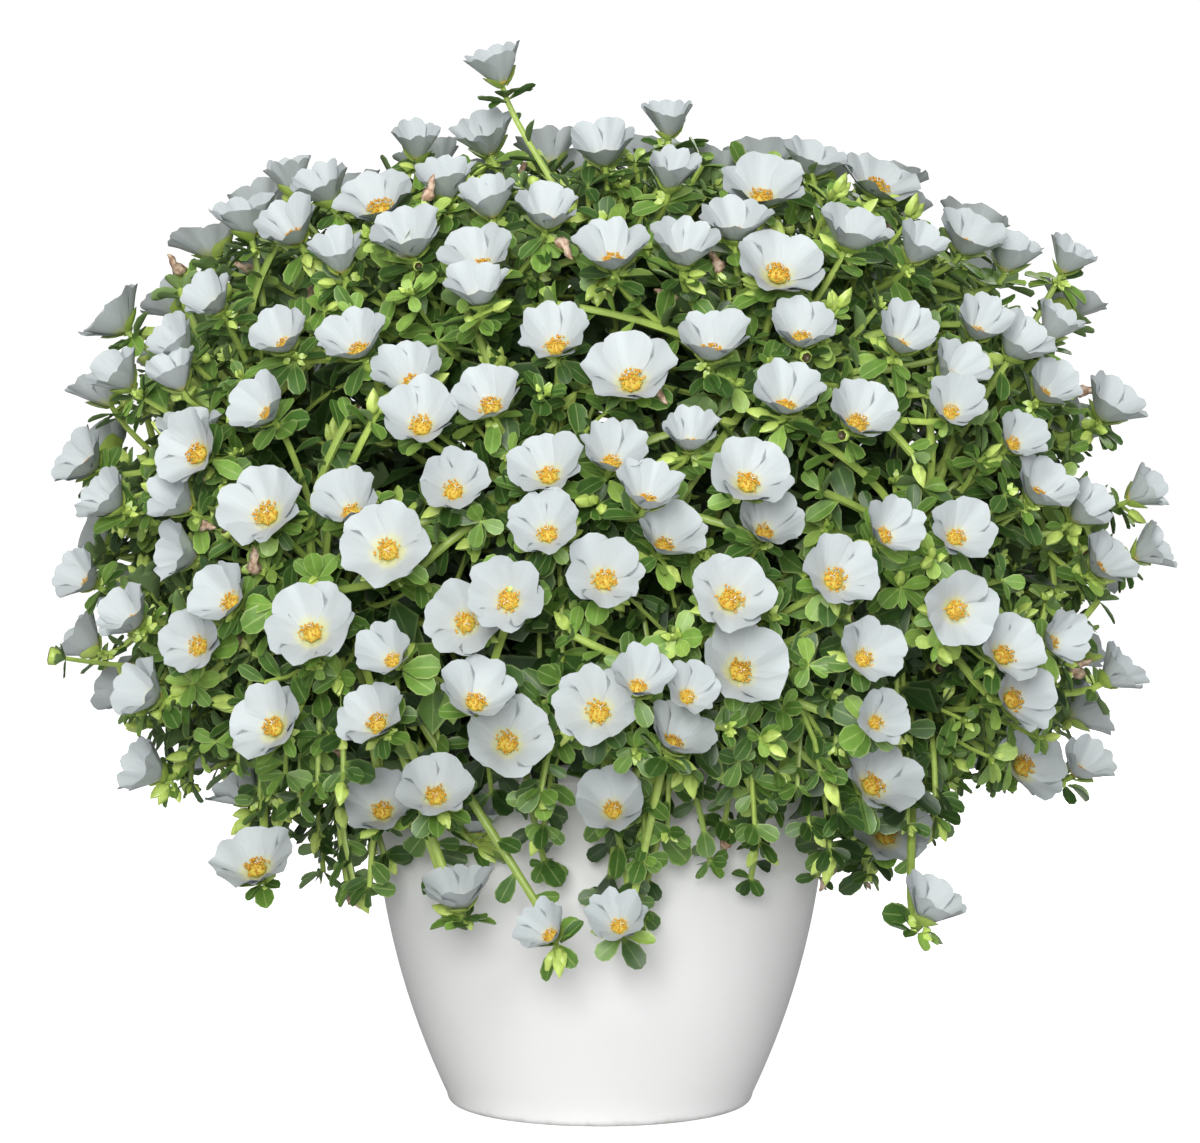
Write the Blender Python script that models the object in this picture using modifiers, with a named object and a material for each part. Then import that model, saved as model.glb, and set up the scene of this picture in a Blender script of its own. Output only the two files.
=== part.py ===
# Potted portulaca: a round balcony pot of soil, and the leafy sprays of a dome that carries white cup blooms.
# Metres, +Z up. The origin is the middle of the pot's underside, and the side that was photographed faces -Y.

import itertools
import math
import random

import bmesh
import bpy
from mathutils import Vector
from mathutils.bvhtree import BVHTree

SEED = 7

# Pot
BASE_RADIUS = 0.079
RIM_RADIUS = 0.121
POT_HEIGHT = 0.190
BELLY = 2.2  # how soon the wall flares above its foot
WALL = 0.0025
FOOT_ROUND = 0.005
LIP_HEIGHT = 0.009
LIP_PROUD = 0.0022
WALL_RINGS = 4
TURN_STEPS = 24
DRAIN_HOLES = 6
DRAIN_CIRCLE = 0.048
DRAIN_RADIUS = 0.006

# Soil
SOIL_LEVEL = 0.168
SOIL_DOME = 0.006
TOUCH_GAP = 0.0003
CLEARANCE = 0.0006  # between one spray and the next
HOLE_DEPTH = 0.040
HOLE_SPREAD = 0.088  # how far from the middle the outermost stems stand

# Dome of foliage: a squashed ball with full shoulders
DOME_MIDDLE = 0.270
DOME_RADIUS = 0.278
DOME_RISE = 0.236
DOME_DROP = 0.112
DOME_FULLNESS = 2.8

# Sprays
SPRAYS = 28
LOWEST_SPRAY = -0.34  # sine of its angle below the dome's middle
CORE_DEPTH = 0.70  # how far out the cores stand, as a share of the dome
CORE_KNOT = 0.032
CORE_REACH = 0.060  # out to the tips of a core's leaves
CORE_SHEAR = 0.35
STEM_RADIUS = 0.0024
STALK_RADIUS = 0.0017
ROOT_IN_CORE = 0.014

# Blooms
CUP_LENGTH = 0.019
LEAN_UP = 0.62
LOW_LEAN_UP = 1.0  # added to that at the bottom of the dome, where the blooms turn up to the light
LEAN_FRONT = 0.38
CUP_GAP = 0.96  # least distance of two cups, as a share of their radii together
MOST_SLIDE = 0.034
BACK_LATTICE = 176
BACK_SPACING = 0.042
BACK_FROM = 0.12  # a lattice bloom stands where the dome faces the viewer less than this

# Leaves
LEAF_THICKNESS = 0.0026
WHORL_LEAVES = 3
WHORL_REACH = 0.021
WHORL_NOTCH = 0.0065
WHORL_BELOW = 0.004  # under the cup
WHORL_RISE = 0.3

# How the blooms were seen: from this far in front of the pot's axis and this high, on an upright picture
# through the axis, in pixels of this size. Each bloom is (across, down, width), read by eye.
VIEW_DISTANCE = 2.0
VIEW_HEIGHT = 0.3625
PIXEL = 0.00053
PIXEL_AXIS = 600
PIXEL_GROUND = 1103
EYE = Vector((0, -VIEW_DISTANCE, VIEW_HEIGHT))
BLOOMS_SEEN = (
    (498, 70, 55), (418, 145, 45), (486, 140, 60), (603, 150, 62), (668, 122, 48), (672, 175, 50),
    (813, 160, 65), (880, 178, 80), (762, 188, 80), (291, 178, 40), (325, 190, 55), (378, 200, 75),
    (446, 185, 58), (490, 202, 55), (547, 212, 60), (248, 220, 65), (292, 230, 62), (340, 257, 52),
    (410, 240, 70), (478, 258, 70), (478, 290, 60), (612, 252, 72), (684, 250, 65), (735, 225, 68),
    (852, 232, 72), (780, 265, 95), (918, 248, 40), (968, 238, 70), (1010, 255, 60), (1068, 258, 46),
    (212, 300, 45), (178, 345, 50), (175, 375, 45), (120, 375, 55), (282, 337, 58), (355, 342, 66),
    (410, 375, 68), (263, 408, 60), (420, 418, 76), (488, 398, 70), (555, 338, 66), (630, 373, 86),
    (712, 343, 72), (802, 330, 65), (903, 338, 58), (980, 325, 55), (1018, 345, 60), (1055, 325, 40),
    (955, 370, 60), (787, 397, 68), (861, 415, 70), (945, 412, 56), (1048, 387, 55), (1110, 405, 65),
    (175, 425, 60), (190, 450, 72), (82, 460, 62), (107, 498, 58), (178, 500, 50), (262, 508, 88),
    (348, 505, 66), (385, 545, 88), (450, 482, 66), (547, 468, 72), (613, 455, 64), (648, 492, 62),
    (690, 435, 56), (750, 475, 80), (768, 525, 65), (546, 528, 68), (668, 538, 68), (890, 530, 62),
    (960, 532, 64), (1042, 488, 65), (1025, 435, 50), (1142, 492, 44), (1105, 562, 58), (1148, 550, 46),
    (1085, 510, 44), (82, 577, 52), (163, 550, 58), (127, 615, 58), (223, 597, 64), (193, 643, 62),
    (308, 626, 88), (388, 655, 54), (463, 620, 78), (507, 597, 74), (605, 575, 75), (732, 595, 80),
    (838, 575, 74), (960, 610, 72), (868, 655, 66), (745, 665, 90), (690, 692, 42), (640, 680, 60),
    (597, 708, 80), (678, 735, 68), (475, 698, 74), (508, 738, 86), (266, 722, 82), (372, 717, 70),
    (145, 693, 58), (148, 770, 56), (1010, 650, 70), (1022, 697, 74), (1060, 640, 46), (1118, 672, 54),
    (1032, 762, 80), (1085, 765, 54), (880, 720, 54), (880, 780, 82), (890, 830, 90), (612, 805, 68),
    (435, 790, 70), (380, 805, 72), (475, 820, 44), (252, 860, 86), (458, 893, 70), (618, 922, 58),
    (545, 932, 48), (932, 908, 62),
)
SEED_HEAD_SEEN = (62, 658)


def clear_scene():
    for obj in list(bpy.data.objects):
        bpy.data.objects.remove(obj, do_unlink=True)


def collection_named(name):
    found = bpy.data.collections.new(name)
    bpy.context.scene.collection.children.link(found)
    return found


def plain_material(name, color, roughness):
    material = bpy.data.materials.new(name)
    material.use_nodes = True
    shader = material.node_tree.nodes["Principled BSDF"]
    shader.inputs["Base Color"].default_value = (*color, 1)
    shader.inputs["Roughness"].default_value = roughness
    shader.inputs["Metallic"].default_value = 0
    return material


def add_object(name, mesh, collection):
    obj = bpy.data.objects.new(name, mesh)
    collection.objects.link(obj)
    return obj


def mesh_from(name, points, faces):
    mesh = bpy.data.meshes.new(name)
    mesh.from_pydata(points, [], faces)
    return mesh


def evaluated_shape(obj):
    """Points and faces of an object with its modifiers, in world space."""
    evaluated = obj.evaluated_get(bpy.context.evaluated_depsgraph_get())
    mesh = evaluated.to_mesh()
    points = [obj.matrix_world @ vertex.co for vertex in mesh.vertices]
    faces = [tuple(face.vertices) for face in mesh.polygons]
    evaluated.to_mesh_clear()
    return points, faces


# Pot and soil

def wall_radius(height):
    """Outer radius of the pot's wall at a height, for the flare that steepens towards the rim."""
    return RIM_RADIUS - (RIM_RADIUS - BASE_RADIUS) * (1 - height / POT_HEIGHT) ** BELLY


def wall_heights():
    """Heights of the wall's rings, top to bottom: the soil's edge shares those that it reaches."""
    return [POT_HEIGHT] + [SOIL_LEVEL * i / WALL_RINGS for i in range(WALL_RINGS, 0, -1)]


def turned(name, profile, collection):
    """A body turned round Z from (radius, height) pairs that run down its outer side."""
    points = [(radius, 0, height) for radius, height in profile]
    mesh = bpy.data.meshes.new(name)
    mesh.from_pydata(points, [(i, i + 1) for i in range(len(points) - 1)], [])
    obj = add_object(name, mesh, collection)
    screw = obj.modifiers.new("Turn", "SCREW")
    screw.steps = TURN_STEPS
    screw.render_steps = TURN_STEPS
    screw.use_merge_vertices = True
    screw.merge_threshold = 0.0001
    return obj


def upright_cutter(name, place, radius, low, high, sides, collection):
    bpy.ops.mesh.primitive_cylinder_add(
        vertices=sides, radius=radius, depth=high - low, location=(place[0], place[1], (low + high) / 2)
    )
    cutter = bpy.context.object
    cutter.name = name
    for holder in list(cutter.users_collection):
        holder.objects.unlink(cutter)
    collection.objects.link(cutter)
    cutter.hide_render = True
    cutter.display_type = "WIRE"
    return cutter


def cut_with(obj, cutters):
    cut = obj.modifiers.new("Holes", "BOOLEAN")
    cut.operation = "DIFFERENCE"
    cut.operand_type = "COLLECTION"
    cut.collection = cutters
    cut.solver = "EXACT"


def make_pot(collection):
    """One moulded shell: rim lip, flared wall, rounded foot and a flat floor with drain holes."""
    heights = wall_heights()
    under_lip = POT_HEIGHT - LIP_HEIGHT
    outer = [(wall_radius(POT_HEIGHT) + LIP_PROUD, POT_HEIGHT), (wall_radius(under_lip) + LIP_PROUD, under_lip)]
    outer += [(wall_radius(under_lip), under_lip - LIP_PROUD)]
    outer += [(wall_radius(height), height) for height in heights if FOOT_ROUND < height < under_lip - LIP_PROUD]
    for turn in (0, 90):
        angle = math.radians(turn)
        inset = FOOT_ROUND * (1 - math.cos(angle))
        outer.append((wall_radius(FOOT_ROUND) - inset, FOOT_ROUND * (1 - math.sin(angle))))
    inner = [(wall_radius(height) - WALL, height) for height in reversed(heights) if height > WALL]
    inner.insert(0, (wall_radius(WALL) - WALL, WALL))
    pot = turned("pot", [(0, WALL)] + inner + outer + [(0, 0)], collection)
    cutters = collection_named("drain_cutters")
    for i in range(DRAIN_HOLES):
        angle = math.tau * i / DRAIN_HOLES
        place = (DRAIN_CIRCLE * math.cos(angle), DRAIN_CIRCLE * math.sin(angle))
        upright_cutter(f"drain_cutter_{i}", place, DRAIN_RADIUS, -WALL, 3 * WALL, 6, cutters)
    cut_with(pot, cutters)
    pot.data.materials.append(plain_material("white_plastic", (0.84, 0.84, 0.83), 0.35))
    return pot


def soil_height(radius):
    return SOIL_LEVEL + SOIL_DOME * (1 - (radius / (RIM_RADIUS - WALL)) ** 2)


def make_soil(sprays, collection):
    """The potting mix: it fills the pot to below the rim, and has a plain hole for each stem."""
    inside = WALL + TOUCH_GAP
    edge = wall_radius(SOIL_LEVEL) - inside
    profile = [(0, soil_height(0)), (edge * 0.6, soil_height(edge * 0.6))]
    profile += [(wall_radius(height) - inside, height) for height in wall_heights()[1:]]
    profile += [(wall_radius(WALL) - inside, WALL + TOUCH_GAP), (0, WALL + TOUCH_GAP)]
    soil = turned("soil", profile, collection)
    cutters = collection_named("stem_hole_cutters")
    for number, spray in enumerate(sprays):
        foot = spray["hole"]
        upright_cutter(
            f"hole_cutter_{number}", foot, STEM_RADIUS + 3 * TOUCH_GAP,
            foot.z - TOUCH_GAP, SOIL_LEVEL + 3 * SOIL_DOME, 5, cutters,
        )
    cut_with(soil, cutters)
    soil.data.materials.append(plain_material("potting_mix", (0.055, 0.036, 0.024), 0.95))
    return soil


# Places on the dome

def dome_level(point):
    """1 on the dome's surface, less inside it."""
    rise = DOME_RISE if point.z > DOME_MIDDLE else DOME_DROP
    across = math.hypot(point.x, point.y) / DOME_RADIUS
    upward = abs(point.z - DOME_MIDDLE) / rise
    return (across ** DOME_FULLNESS + upward ** DOME_FULLNESS) ** (1 / DOME_FULLNESS)


def on_dome(direction, share):
    """The point that lies this way from the dome's middle, at a share of the way to its surface."""
    middle = Vector((0, 0, DOME_MIDDLE))
    return middle + direction * share / dome_level(middle + direction)


def dome_normal(point):
    rise = DOME_RISE if point.z > DOME_MIDDLE else DOME_DROP * 1.6
    return Vector((point.x / DOME_RADIUS ** 2, point.y / DOME_RADIUS ** 2, (point.z - DOME_MIDDLE) / rise ** 2))


def golden_direction(number, count, lowest):
    """Evenly spread directions from straight up down to a lowest sine."""
    height = 1 - (number + 0.5) * (1 - lowest) / count
    level = math.sqrt(1 - height * height)
    angle = number * math.pi * (3 - math.sqrt(5))
    return Vector((level * math.cos(angle), level * math.sin(angle), height))


def seen_on_dome(across, down):
    """Where the line of sight through a place in the picture meets the dome, or passes nearest to it."""
    aim = Vector(((across - PIXEL_AXIS) * PIXEL, 0, (PIXEL_GROUND - down) * PIXEL))
    sight = (aim - EYE).normalized()
    best = None
    steps = 320
    for step in range(steps):
        point = EYE + sight * (VIEW_DISTANCE - 0.36 + 0.5 * step / steps)
        level = dome_level(point)
        if best is None or level < best[0]:
            best = (level, point)
        if level <= 1:
            break
    return best[1], sight


def plan_blooms():
    """Every bloom as its cup's middle, radius, axis and the line that it may slide along."""
    draws = random.Random(SEED)
    blooms = []
    for across, down, width in BLOOMS_SEEN:
        point, sight = seen_on_dome(across, down)
        away = (point - EYE).length
        radius = min(max(width * PIXEL * away / VIEW_DISTANCE / 2, 0.0125), 0.0205)
        blooms.append({"middle": point, "radius": radius, "slide": sight, "front": True})
    for number in range(BACK_LATTICE):
        direction = golden_direction(number, BACK_LATTICE, -0.5)
        point = on_dome(direction, draws.uniform(0.95, 1.03))
        radius = draws.uniform(0.0155, 0.0195)
        shows = dome_normal(point).normalized().dot((EYE - point).normalized())
        if shows > BACK_FROM or any((point - other["middle"]).length < BACK_SPACING for other in blooms):
            continue
        blooms.append({"middle": point, "radius": radius, "slide": direction, "front": False})
    slide_apart(blooms)
    for bloom in blooms:
        low = max(0, (DOME_MIDDLE - bloom["middle"].z) / DOME_DROP)
        lean = Vector((0, -LEAN_FRONT if bloom["front"] else LEAN_FRONT / 2, LEAN_UP + LOW_LEAN_UP * low))
        wander = Vector([draws.uniform(-0.26, 0.26) for _ in range(3)])
        bloom["axis"] = (dome_normal(bloom["middle"]).normalized() + lean + wander).normalized()
        bloom["twist"] = draws.uniform(0, math.tau)
        bloom["uneven"] = [draws.uniform(0.75, 1.05) for _ in range(WHORL_LEAVES)]
    return blooms


def slide_apart(blooms):
    """Two cups that would cross slide apart along their lines, as one bloom stands in front of another."""
    slid = [0.0] * len(blooms)
    for _ in range(80):
        for i, one in enumerate(blooms):
            for j in range(i):
                other = blooms[j]
                apart = one["middle"] + one["slide"] * slid[i] - other["middle"] - other["slide"] * slid[j]
                missing = (one["radius"] + other["radius"]) * CUP_GAP - apart.length
                if missing <= 0:
                    continue
                ahead = 1 if apart.dot(one["slide"]) > 0 else -1
                slid[i] = min(max(slid[i] + ahead * missing * 0.5, -MOST_SLIDE), MOST_SLIDE)
                slid[j] = min(max(slid[j] - ahead * missing * 0.5, -MOST_SLIDE), MOST_SLIDE)
    for bloom, distance in zip(blooms, slid):
        bloom["middle"] = bloom["middle"] + bloom["slide"] * distance


def plan_sprays():
    """Each spray as its leafy core and the soil hole that its stem stands in."""
    sprays = []
    for number in range(SPRAYS):
        direction = golden_direction(number, SPRAYS, LOWEST_SPRAY)
        core = on_dome(direction, CORE_DEPTH)
        outward = Vector((direction.x, direction.y, 0))
        steep = math.asin(direction.z) / (math.pi / 2)
        reach = HOLE_SPREAD * min(1, 1.12 * (1 - max(steep, 0)) ** 0.8)
        hole = outward.normalized() * reach
        hole.z = SOIL_LEVEL - HOLE_DEPTH
        sprays.append({"core": core, "hole": hole, "outward": direction, "blooms": []})
    return sprays


def share_out(blooms, sprays):
    for bloom in blooms:
        nearest = min(sprays, key=lambda spray: (spray["core"] - bloom["middle"]).length)
        nearest["blooms"].append(bloom)


# Shapes of a spray

def ring_round(middle, axis, side, radii, lifts, twist):
    """A ring of points round an axis, each with its own radius and height along the axis."""
    side = (side - axis * side.dot(axis)).normalized()
    front = axis.cross(side)
    ring = []
    for i, (radius, lift) in enumerate(zip(radii, lifts)):
        angle = twist + math.tau * i / len(radii)
        ring.append(middle + (side * math.cos(angle) + front * math.sin(angle)) * radius + axis * lift)
    return ring


def zip_rings(lower, upper):
    """Triangles between two rings of unlike counts, taken in turn round the axis."""
    faces = []
    i = j = 0
    while i < len(lower) or j < len(upper):
        if j == len(upper) or (i < len(lower) and (i + 0.5) / len(lower) < (j + 0.5) / len(upper)):
            faces.append((lower[i % len(lower)], lower[(i + 1) % len(lower)], upper[j % len(upper)]))
            i += 1
        else:
            faces.append((lower[i % len(lower)], upper[(j + 1) % len(upper)], upper[j % len(upper)]))
            j += 1
    return faces


def cup_length(bloom):
    return CUP_LENGTH * (0.75 + 0.25 * bloom["radius"] / 0.02)


def cup_base(bloom):
    return bloom["middle"] - bloom["axis"] * cup_length(bloom) * 0.55


def bloom_shape(bloom, root):
    """A stalk with a whorl of pointed leaves, which opens into a cup of five petals with notches between them."""
    axis = bloom["axis"]
    radius = bloom["radius"]
    length = cup_length(bloom)
    base = cup_base(bloom)
    along = (base - root).normalized()
    side = along.cross(axis)
    if side.length < 0.05:
        side = along.orthogonal()
    twist = bloom["twist"]
    node = base - axis * WHORL_BELOW
    tips = [bloom["whorl"] * share for share in bloom["uneven"]]
    star = [reach for tip in tips for reach in (tip, WHORL_NOTCH * min(1, bloom["whorl"] / WHORL_REACH))]
    lifts = [lift for tip in tips for lift in (tip * WHORL_RISE, 0)]
    stalk = [STALK_RADIUS] * 3
    level = [0] * 3
    rings = [
        ring_round(root, along, side, stalk, level, twist),
        ring_round(node - axis * LEAF_THICKNESS, axis, side, stalk, level, twist),
        ring_round(node, axis, side, star, lifts, twist),
        ring_round(base, axis, side, [STALK_RADIUS * 1.5] * 3, level, twist),
        ring_round(base, axis, side, [radius, radius * 0.82] * 5, [length, length * 0.82] * 5, twist),
    ]
    points = []
    numbers = []
    for ring in rings:
        numbers.append(range(len(points), len(points) + len(ring)))
        points += ring
    points.append(base + axis * length * 0.24)
    faces = [tuple(reversed(numbers[0]))]
    for lower, upper in zip(numbers, numbers[1:]):
        faces += zip_rings(lower, upper)
    rim = numbers[-1]
    faces += [(rim[i], rim[(i + 1) % len(rim)], len(points) - 1) for i in range(len(rim))]
    return points, faces


def core_shape(spray, draws):
    """The dense inner shoots of a spray: a small knot with a pointed clump of leaves out of each face."""
    bm = bmesh.new()
    bmesh.ops.create_icosphere(bm, subdivisions=1, radius=1)
    for vertex in bm.verts:
        vertex.co *= CORE_KNOT * draws.uniform(0.9, 1.1)
    clumps = bmesh.ops.poke(bm, faces=bm.faces)["verts"]
    outward = spray["outward"]
    for vertex in clumps:
        toward = vertex.co.normalized()
        reach = spray["reach"] * (0.86 + 0.14 * toward.dot(outward)) * draws.uniform(0.8, 1)
        aside = Vector([draws.uniform(-CORE_SHEAR, CORE_SHEAR) for _ in range(3)])
        vertex.co = (toward + aside).normalized() * reach
    points = [vertex.co + spray["core"] for vertex in bm.verts]
    faces = [tuple(vertex.index for vertex in face.verts) for face in bm.faces]
    bm.free()
    return points, faces


def stem_curve(spray, collection):
    """The main stem as a tube: straight up out of its hole, then over to the core in one bend."""
    hole = spray["hole"]
    mouth = Vector((hole.x, hole.y, soil_height(math.hypot(hole.x, hole.y)) + 0.008))
    lift = Vector((hole.x * 0.25, hole.y * 0.25, 0.075))
    path = [hole, mouth]
    for share in (0.5, 1.0):
        rise = (1 - share) ** 2
        bend = 2 * share * (1 - share)
        path.append(mouth * rise + (mouth + lift) * bend + spray["core"] * share ** 2)
    curve = bpy.data.curves.new("stem", "CURVE")
    curve.dimensions = "3D"
    curve.bevel_depth = STEM_RADIUS
    curve.bevel_resolution = 0
    curve.use_fill_caps = True
    spline = curve.splines.new("POLY")
    spline.points.add(len(path) - 1)
    for point, place in zip(spline.points, path):
        point.co = (*place, 1)
    return add_object("stem", curve, collection)


def welded_shape(obj):
    """Points and faces of a curve with its caps joined on, and the curve removed."""
    mesh = bpy.data.meshes.new_from_object(obj.evaluated_get(bpy.context.evaluated_depsgraph_get()))
    bm = bmesh.new()
    bm.from_mesh(mesh)
    bmesh.ops.remove_doubles(bm, verts=bm.verts, dist=0.00001)
    points = [vertex.co.copy() for vertex in bm.verts]
    faces = [tuple(vertex.index for vertex in face.verts) for face in bm.faces]
    bm.free()
    bpy.data.meshes.remove(mesh)
    bpy.data.objects.remove(obj, do_unlink=True)
    return points, faces


class Crowd:
    """What stands where: every shape so far, by owner, so that a new one can be kept clear of the others."""

    def __init__(self, fixed):
        self.shapes = [("pot", BVHTree.FromPolygons(*shape)) for shape in fixed]

    def crossed(self, own, shape):
        """Whether a shape crosses another, or comes too near to it, apart from the owners it grows out of."""
        points, faces = shape
        tree = BVHTree.FromPolygons(points, faces)
        for owner, known in self.shapes:
            if owner in own or owner[0] in own:
                continue
            if tree.overlap(known) or any(known.find_nearest(point, CLEARANCE)[0] for point in points):
                return True
        return False

    def add(self, owner, shape):
        self.shapes.append((owner, BVHTree.FromPolygons(*shape)))


def root_of(bloom, spray):
    """Where a stalk starts inside its spray's core."""
    toward = (bloom["middle"] - spray["core"]).normalized()
    return spray["core"] + toward * ROOT_IN_CORE


def place_bloom(bloom, number, sprays, crowd):
    """Fits a bloom in its spray, with a smaller whorl, leaning or sunk where it has to clear others."""
    home = bloom["middle"].copy()
    axis = bloom["axis"].copy()
    side = axis.orthogonal().normalized()
    near = sorted(range(len(sprays)), key=lambda i: (sprays[i]["core"] - home).length)[:3]
    near.sort(key=lambda i: i != number)
    for owner in near:
        own = [(owner, "core"), (owner, "stem")]
        for whorl, sink, lean in itertools.product((1, 0.7, 0.45), (0, 0.005, 0.010, -0.006), (0, 0.35, -0.35)):
            bloom["whorl"] = WHORL_REACH * whorl
            bloom["axis"] = (axis + side * lean).normalized()
            bloom["middle"] = home - dome_normal(home).normalized() * sink
            shape = bloom_shape(bloom, root_of(bloom, sprays[owner]))
            if not crowd.crossed(own, shape):
                return owner, shape
    return None, None


def seed_head(sprays, crowd, draws):
    """The lone stem that reaches out past the dome's left side, with a seed cup at its tip."""
    point, _ = seen_on_dome(*SEED_HEAD_SEEN)
    owner = min(range(len(sprays)), key=lambda i: (sprays[i]["core"] - point).length)
    cup = {"middle": point, "radius": 0.006, "axis": Vector((-1, -0.2, 0.2)).normalized()}
    cup |= {"twist": draws.random(), "whorl": WHORL_REACH * 0.6, "uneven": [1] * WHORL_LEAVES}
    shape = bloom_shape(cup, root_of(cup, sprays[owner]))
    return (None, None) if crowd.crossed([owner], shape) else (owner, shape)


def keep_main_body(mesh):
    """Drops loose scraps and fills hollows that the joining sealed, by keeping the largest connected surface."""
    bm = bmesh.new()
    bm.from_mesh(mesh)
    left = set(bm.faces)
    bodies = []
    while left:
        body = {left.pop()}
        edge_of = list(body)
        while edge_of:
            face = edge_of.pop()
            for edge in face.edges:
                for other in edge.link_faces:
                    if other not in body:
                        body.add(other)
                        edge_of.append(other)
        left -= body
        bodies.append(body)
    bodies.sort(key=len)
    spare = [face for body in bodies[:-1] for face in body]
    bmesh.ops.delete(bm, geom=spare, context="FACES")
    bm.to_mesh(mesh)
    bm.free()


def join_spray(name, core, shapes, material, collection):
    """One closed body from a core and everything that grows out of it."""
    repeats = collection_named(name + "_repeats")
    for i, (points, faces) in enumerate(shapes):
        add_object(f"{name}_{i}", mesh_from(name, points, faces), repeats)
    spray = add_object(name, mesh_from(name, *core), collection)
    union = spray.modifiers.new("Join", "BOOLEAN")
    union.operation = "UNION"
    union.operand_type = "COLLECTION"
    union.collection = repeats
    union.solver = "MANIFOLD"
    bpy.context.view_layer.update()
    joined = bpy.data.meshes.new_from_object(spray.evaluated_get(bpy.context.evaluated_depsgraph_get()))
    keep_main_body(joined)
    spray.modifiers.clear()
    spray.data = joined
    spray.data.materials.clear()
    spray.data.materials.append(material)
    for obj in list(repeats.objects):
        bpy.data.objects.remove(obj, do_unlink=True)
    bpy.data.collections.remove(repeats)
    return spray


def make_sprays(sprays, blooms, fixed, collection):
    draws = random.Random(SEED + 1)
    crowd = Crowd(fixed)
    for spray in sprays:
        others = [(spray["core"] - other["core"]).length for other in sprays if other is not spray]
        spray["reach"] = min(CORE_REACH, min(others) / 2 - CLEARANCE)
    grown = []
    helpers = collection_named("stem_guides")
    for number, spray in enumerate(sprays):
        core = core_shape(spray, draws)
        stem = welded_shape(stem_curve(spray, helpers))
        grown.append({"core": core, "shapes": [stem], "blooms": []})
        crowd.add((number, "core"), core)
        crowd.add((number, "stem"), stem)
    bpy.data.collections.remove(helpers)
    for number, spray in enumerate(sprays):
        for bloom in spray["blooms"]:
            owner, shape = place_bloom(bloom, number, sprays, crowd)
            if owner is None:
                print("no room for the bloom at", bloom["middle"])
                continue
            crowd.add((owner, len(grown[owner]["blooms"])), shape)
            grown[owner]["shapes"].append(shape)
            grown[owner]["blooms"].append(bloom)
    owner, shape = seed_head(sprays, crowd, draws)
    if owner is not None:
        grown[owner]["shapes"].append(shape)
        crowd.add((owner, "seed"), shape)
    material = plain_material("fresh_green", (0.09, 0.16, 0.045), 0.5)
    for number, parts in enumerate(grown):
        join_spray(f"spray_{number + 1:02d}", parts["core"], parts["shapes"], material, collection)


def main():
    clear_scene()
    portulaca = collection_named("portulaca")
    blooms = plan_blooms()
    sprays = plan_sprays()
    share_out(blooms, sprays)
    pot = make_pot(portulaca)
    soil = make_soil(sprays, portulaca)
    bpy.context.view_layer.update()
    make_sprays(sprays, blooms, [evaluated_shape(pot), evaluated_shape(soil)], portulaca)
    print(len(blooms), "blooms on", len(sprays), "sprays")


main()
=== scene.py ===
# Potted portulaca: a plain white balcony pot under a dome of leafy sprays with white cup blooms.
# Metres, +Z up. The pot stands at the origin and the photographed side faces -Y.
import math
import random

import bmesh
import bpy
import numpy as np
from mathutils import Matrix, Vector, noise
from mathutils.kdtree import KDTree


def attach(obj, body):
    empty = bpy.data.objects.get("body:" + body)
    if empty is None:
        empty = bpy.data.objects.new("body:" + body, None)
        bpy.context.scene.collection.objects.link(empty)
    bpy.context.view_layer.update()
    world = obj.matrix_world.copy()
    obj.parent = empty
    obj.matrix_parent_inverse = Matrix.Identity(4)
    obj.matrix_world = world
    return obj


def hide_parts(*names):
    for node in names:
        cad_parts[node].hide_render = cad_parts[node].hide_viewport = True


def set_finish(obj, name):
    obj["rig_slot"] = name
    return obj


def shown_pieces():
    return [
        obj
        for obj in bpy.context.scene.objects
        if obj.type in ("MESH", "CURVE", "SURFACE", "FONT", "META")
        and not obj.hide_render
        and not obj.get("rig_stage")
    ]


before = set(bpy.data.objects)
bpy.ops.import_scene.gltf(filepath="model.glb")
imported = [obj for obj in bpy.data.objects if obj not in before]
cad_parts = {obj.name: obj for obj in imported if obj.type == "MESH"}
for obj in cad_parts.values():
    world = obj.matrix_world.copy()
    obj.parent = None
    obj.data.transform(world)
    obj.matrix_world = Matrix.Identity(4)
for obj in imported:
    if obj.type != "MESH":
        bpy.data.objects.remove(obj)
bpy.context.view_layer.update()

print("frame loaded:", len(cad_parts), "nodes")

# Camera, light and floor

studio = {
    "eye": (0, -2.0, 0.3625),
    "aim": (0, 0, 0.2817),
    "lens": 113.3,
    "floorRadius": 9.0,
    "floorRise": 5.0,
    "floorSteps": 8,
    "floorColor": (0.62, 0.62, 0.62),
    "floorGlow": 0.95,  # only as the camera sees it
    "worldColor": (0.95, 0.975, 1.0),
    "worldStrength": 0.24,
    # each light as (name, place, aim, width, watts, color)
    "lights": (
        ("keyLight", (-0.5, -2.5, 2.05), (0, 0, 0.28), 1.3, 41, (1, 0.99, 0.96)),
        ("frontLight", (-0.15, -2.5, 0.72), (0, 0, 0.15), 0.7, 43, (1, 1, 1)),
        ("fillLight", (1.1, -2.3, 1.2), (0, 0, 0.25), 1.4, 8, (0.97, 0.985, 1)),
        ("backLight", (0.9, 2.5, 1.4), (0, 0, 0.3), 1.6, 30, (1, 1, 1)),
    ),
}


def clamp(value, low=0, high=1):
    return min(max(value, low), high)


def deselectAll():
    if bpy.context.object is not None and bpy.context.object.mode != "OBJECT":
        bpy.ops.object.mode_set(mode="OBJECT")
    bpy.ops.object.select_all(action="DESELECT")


def pickOnly(obj):
    deselectAll()
    obj.select_set(True)
    bpy.context.view_layer.objects.active = obj


def editAll():
    bpy.ops.object.mode_set(mode="EDIT")
    bpy.ops.mesh.select_all(action="SELECT")


def applyPlace():
    bpy.ops.object.transform_apply(location=True, rotation=True, scale=True)


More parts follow.
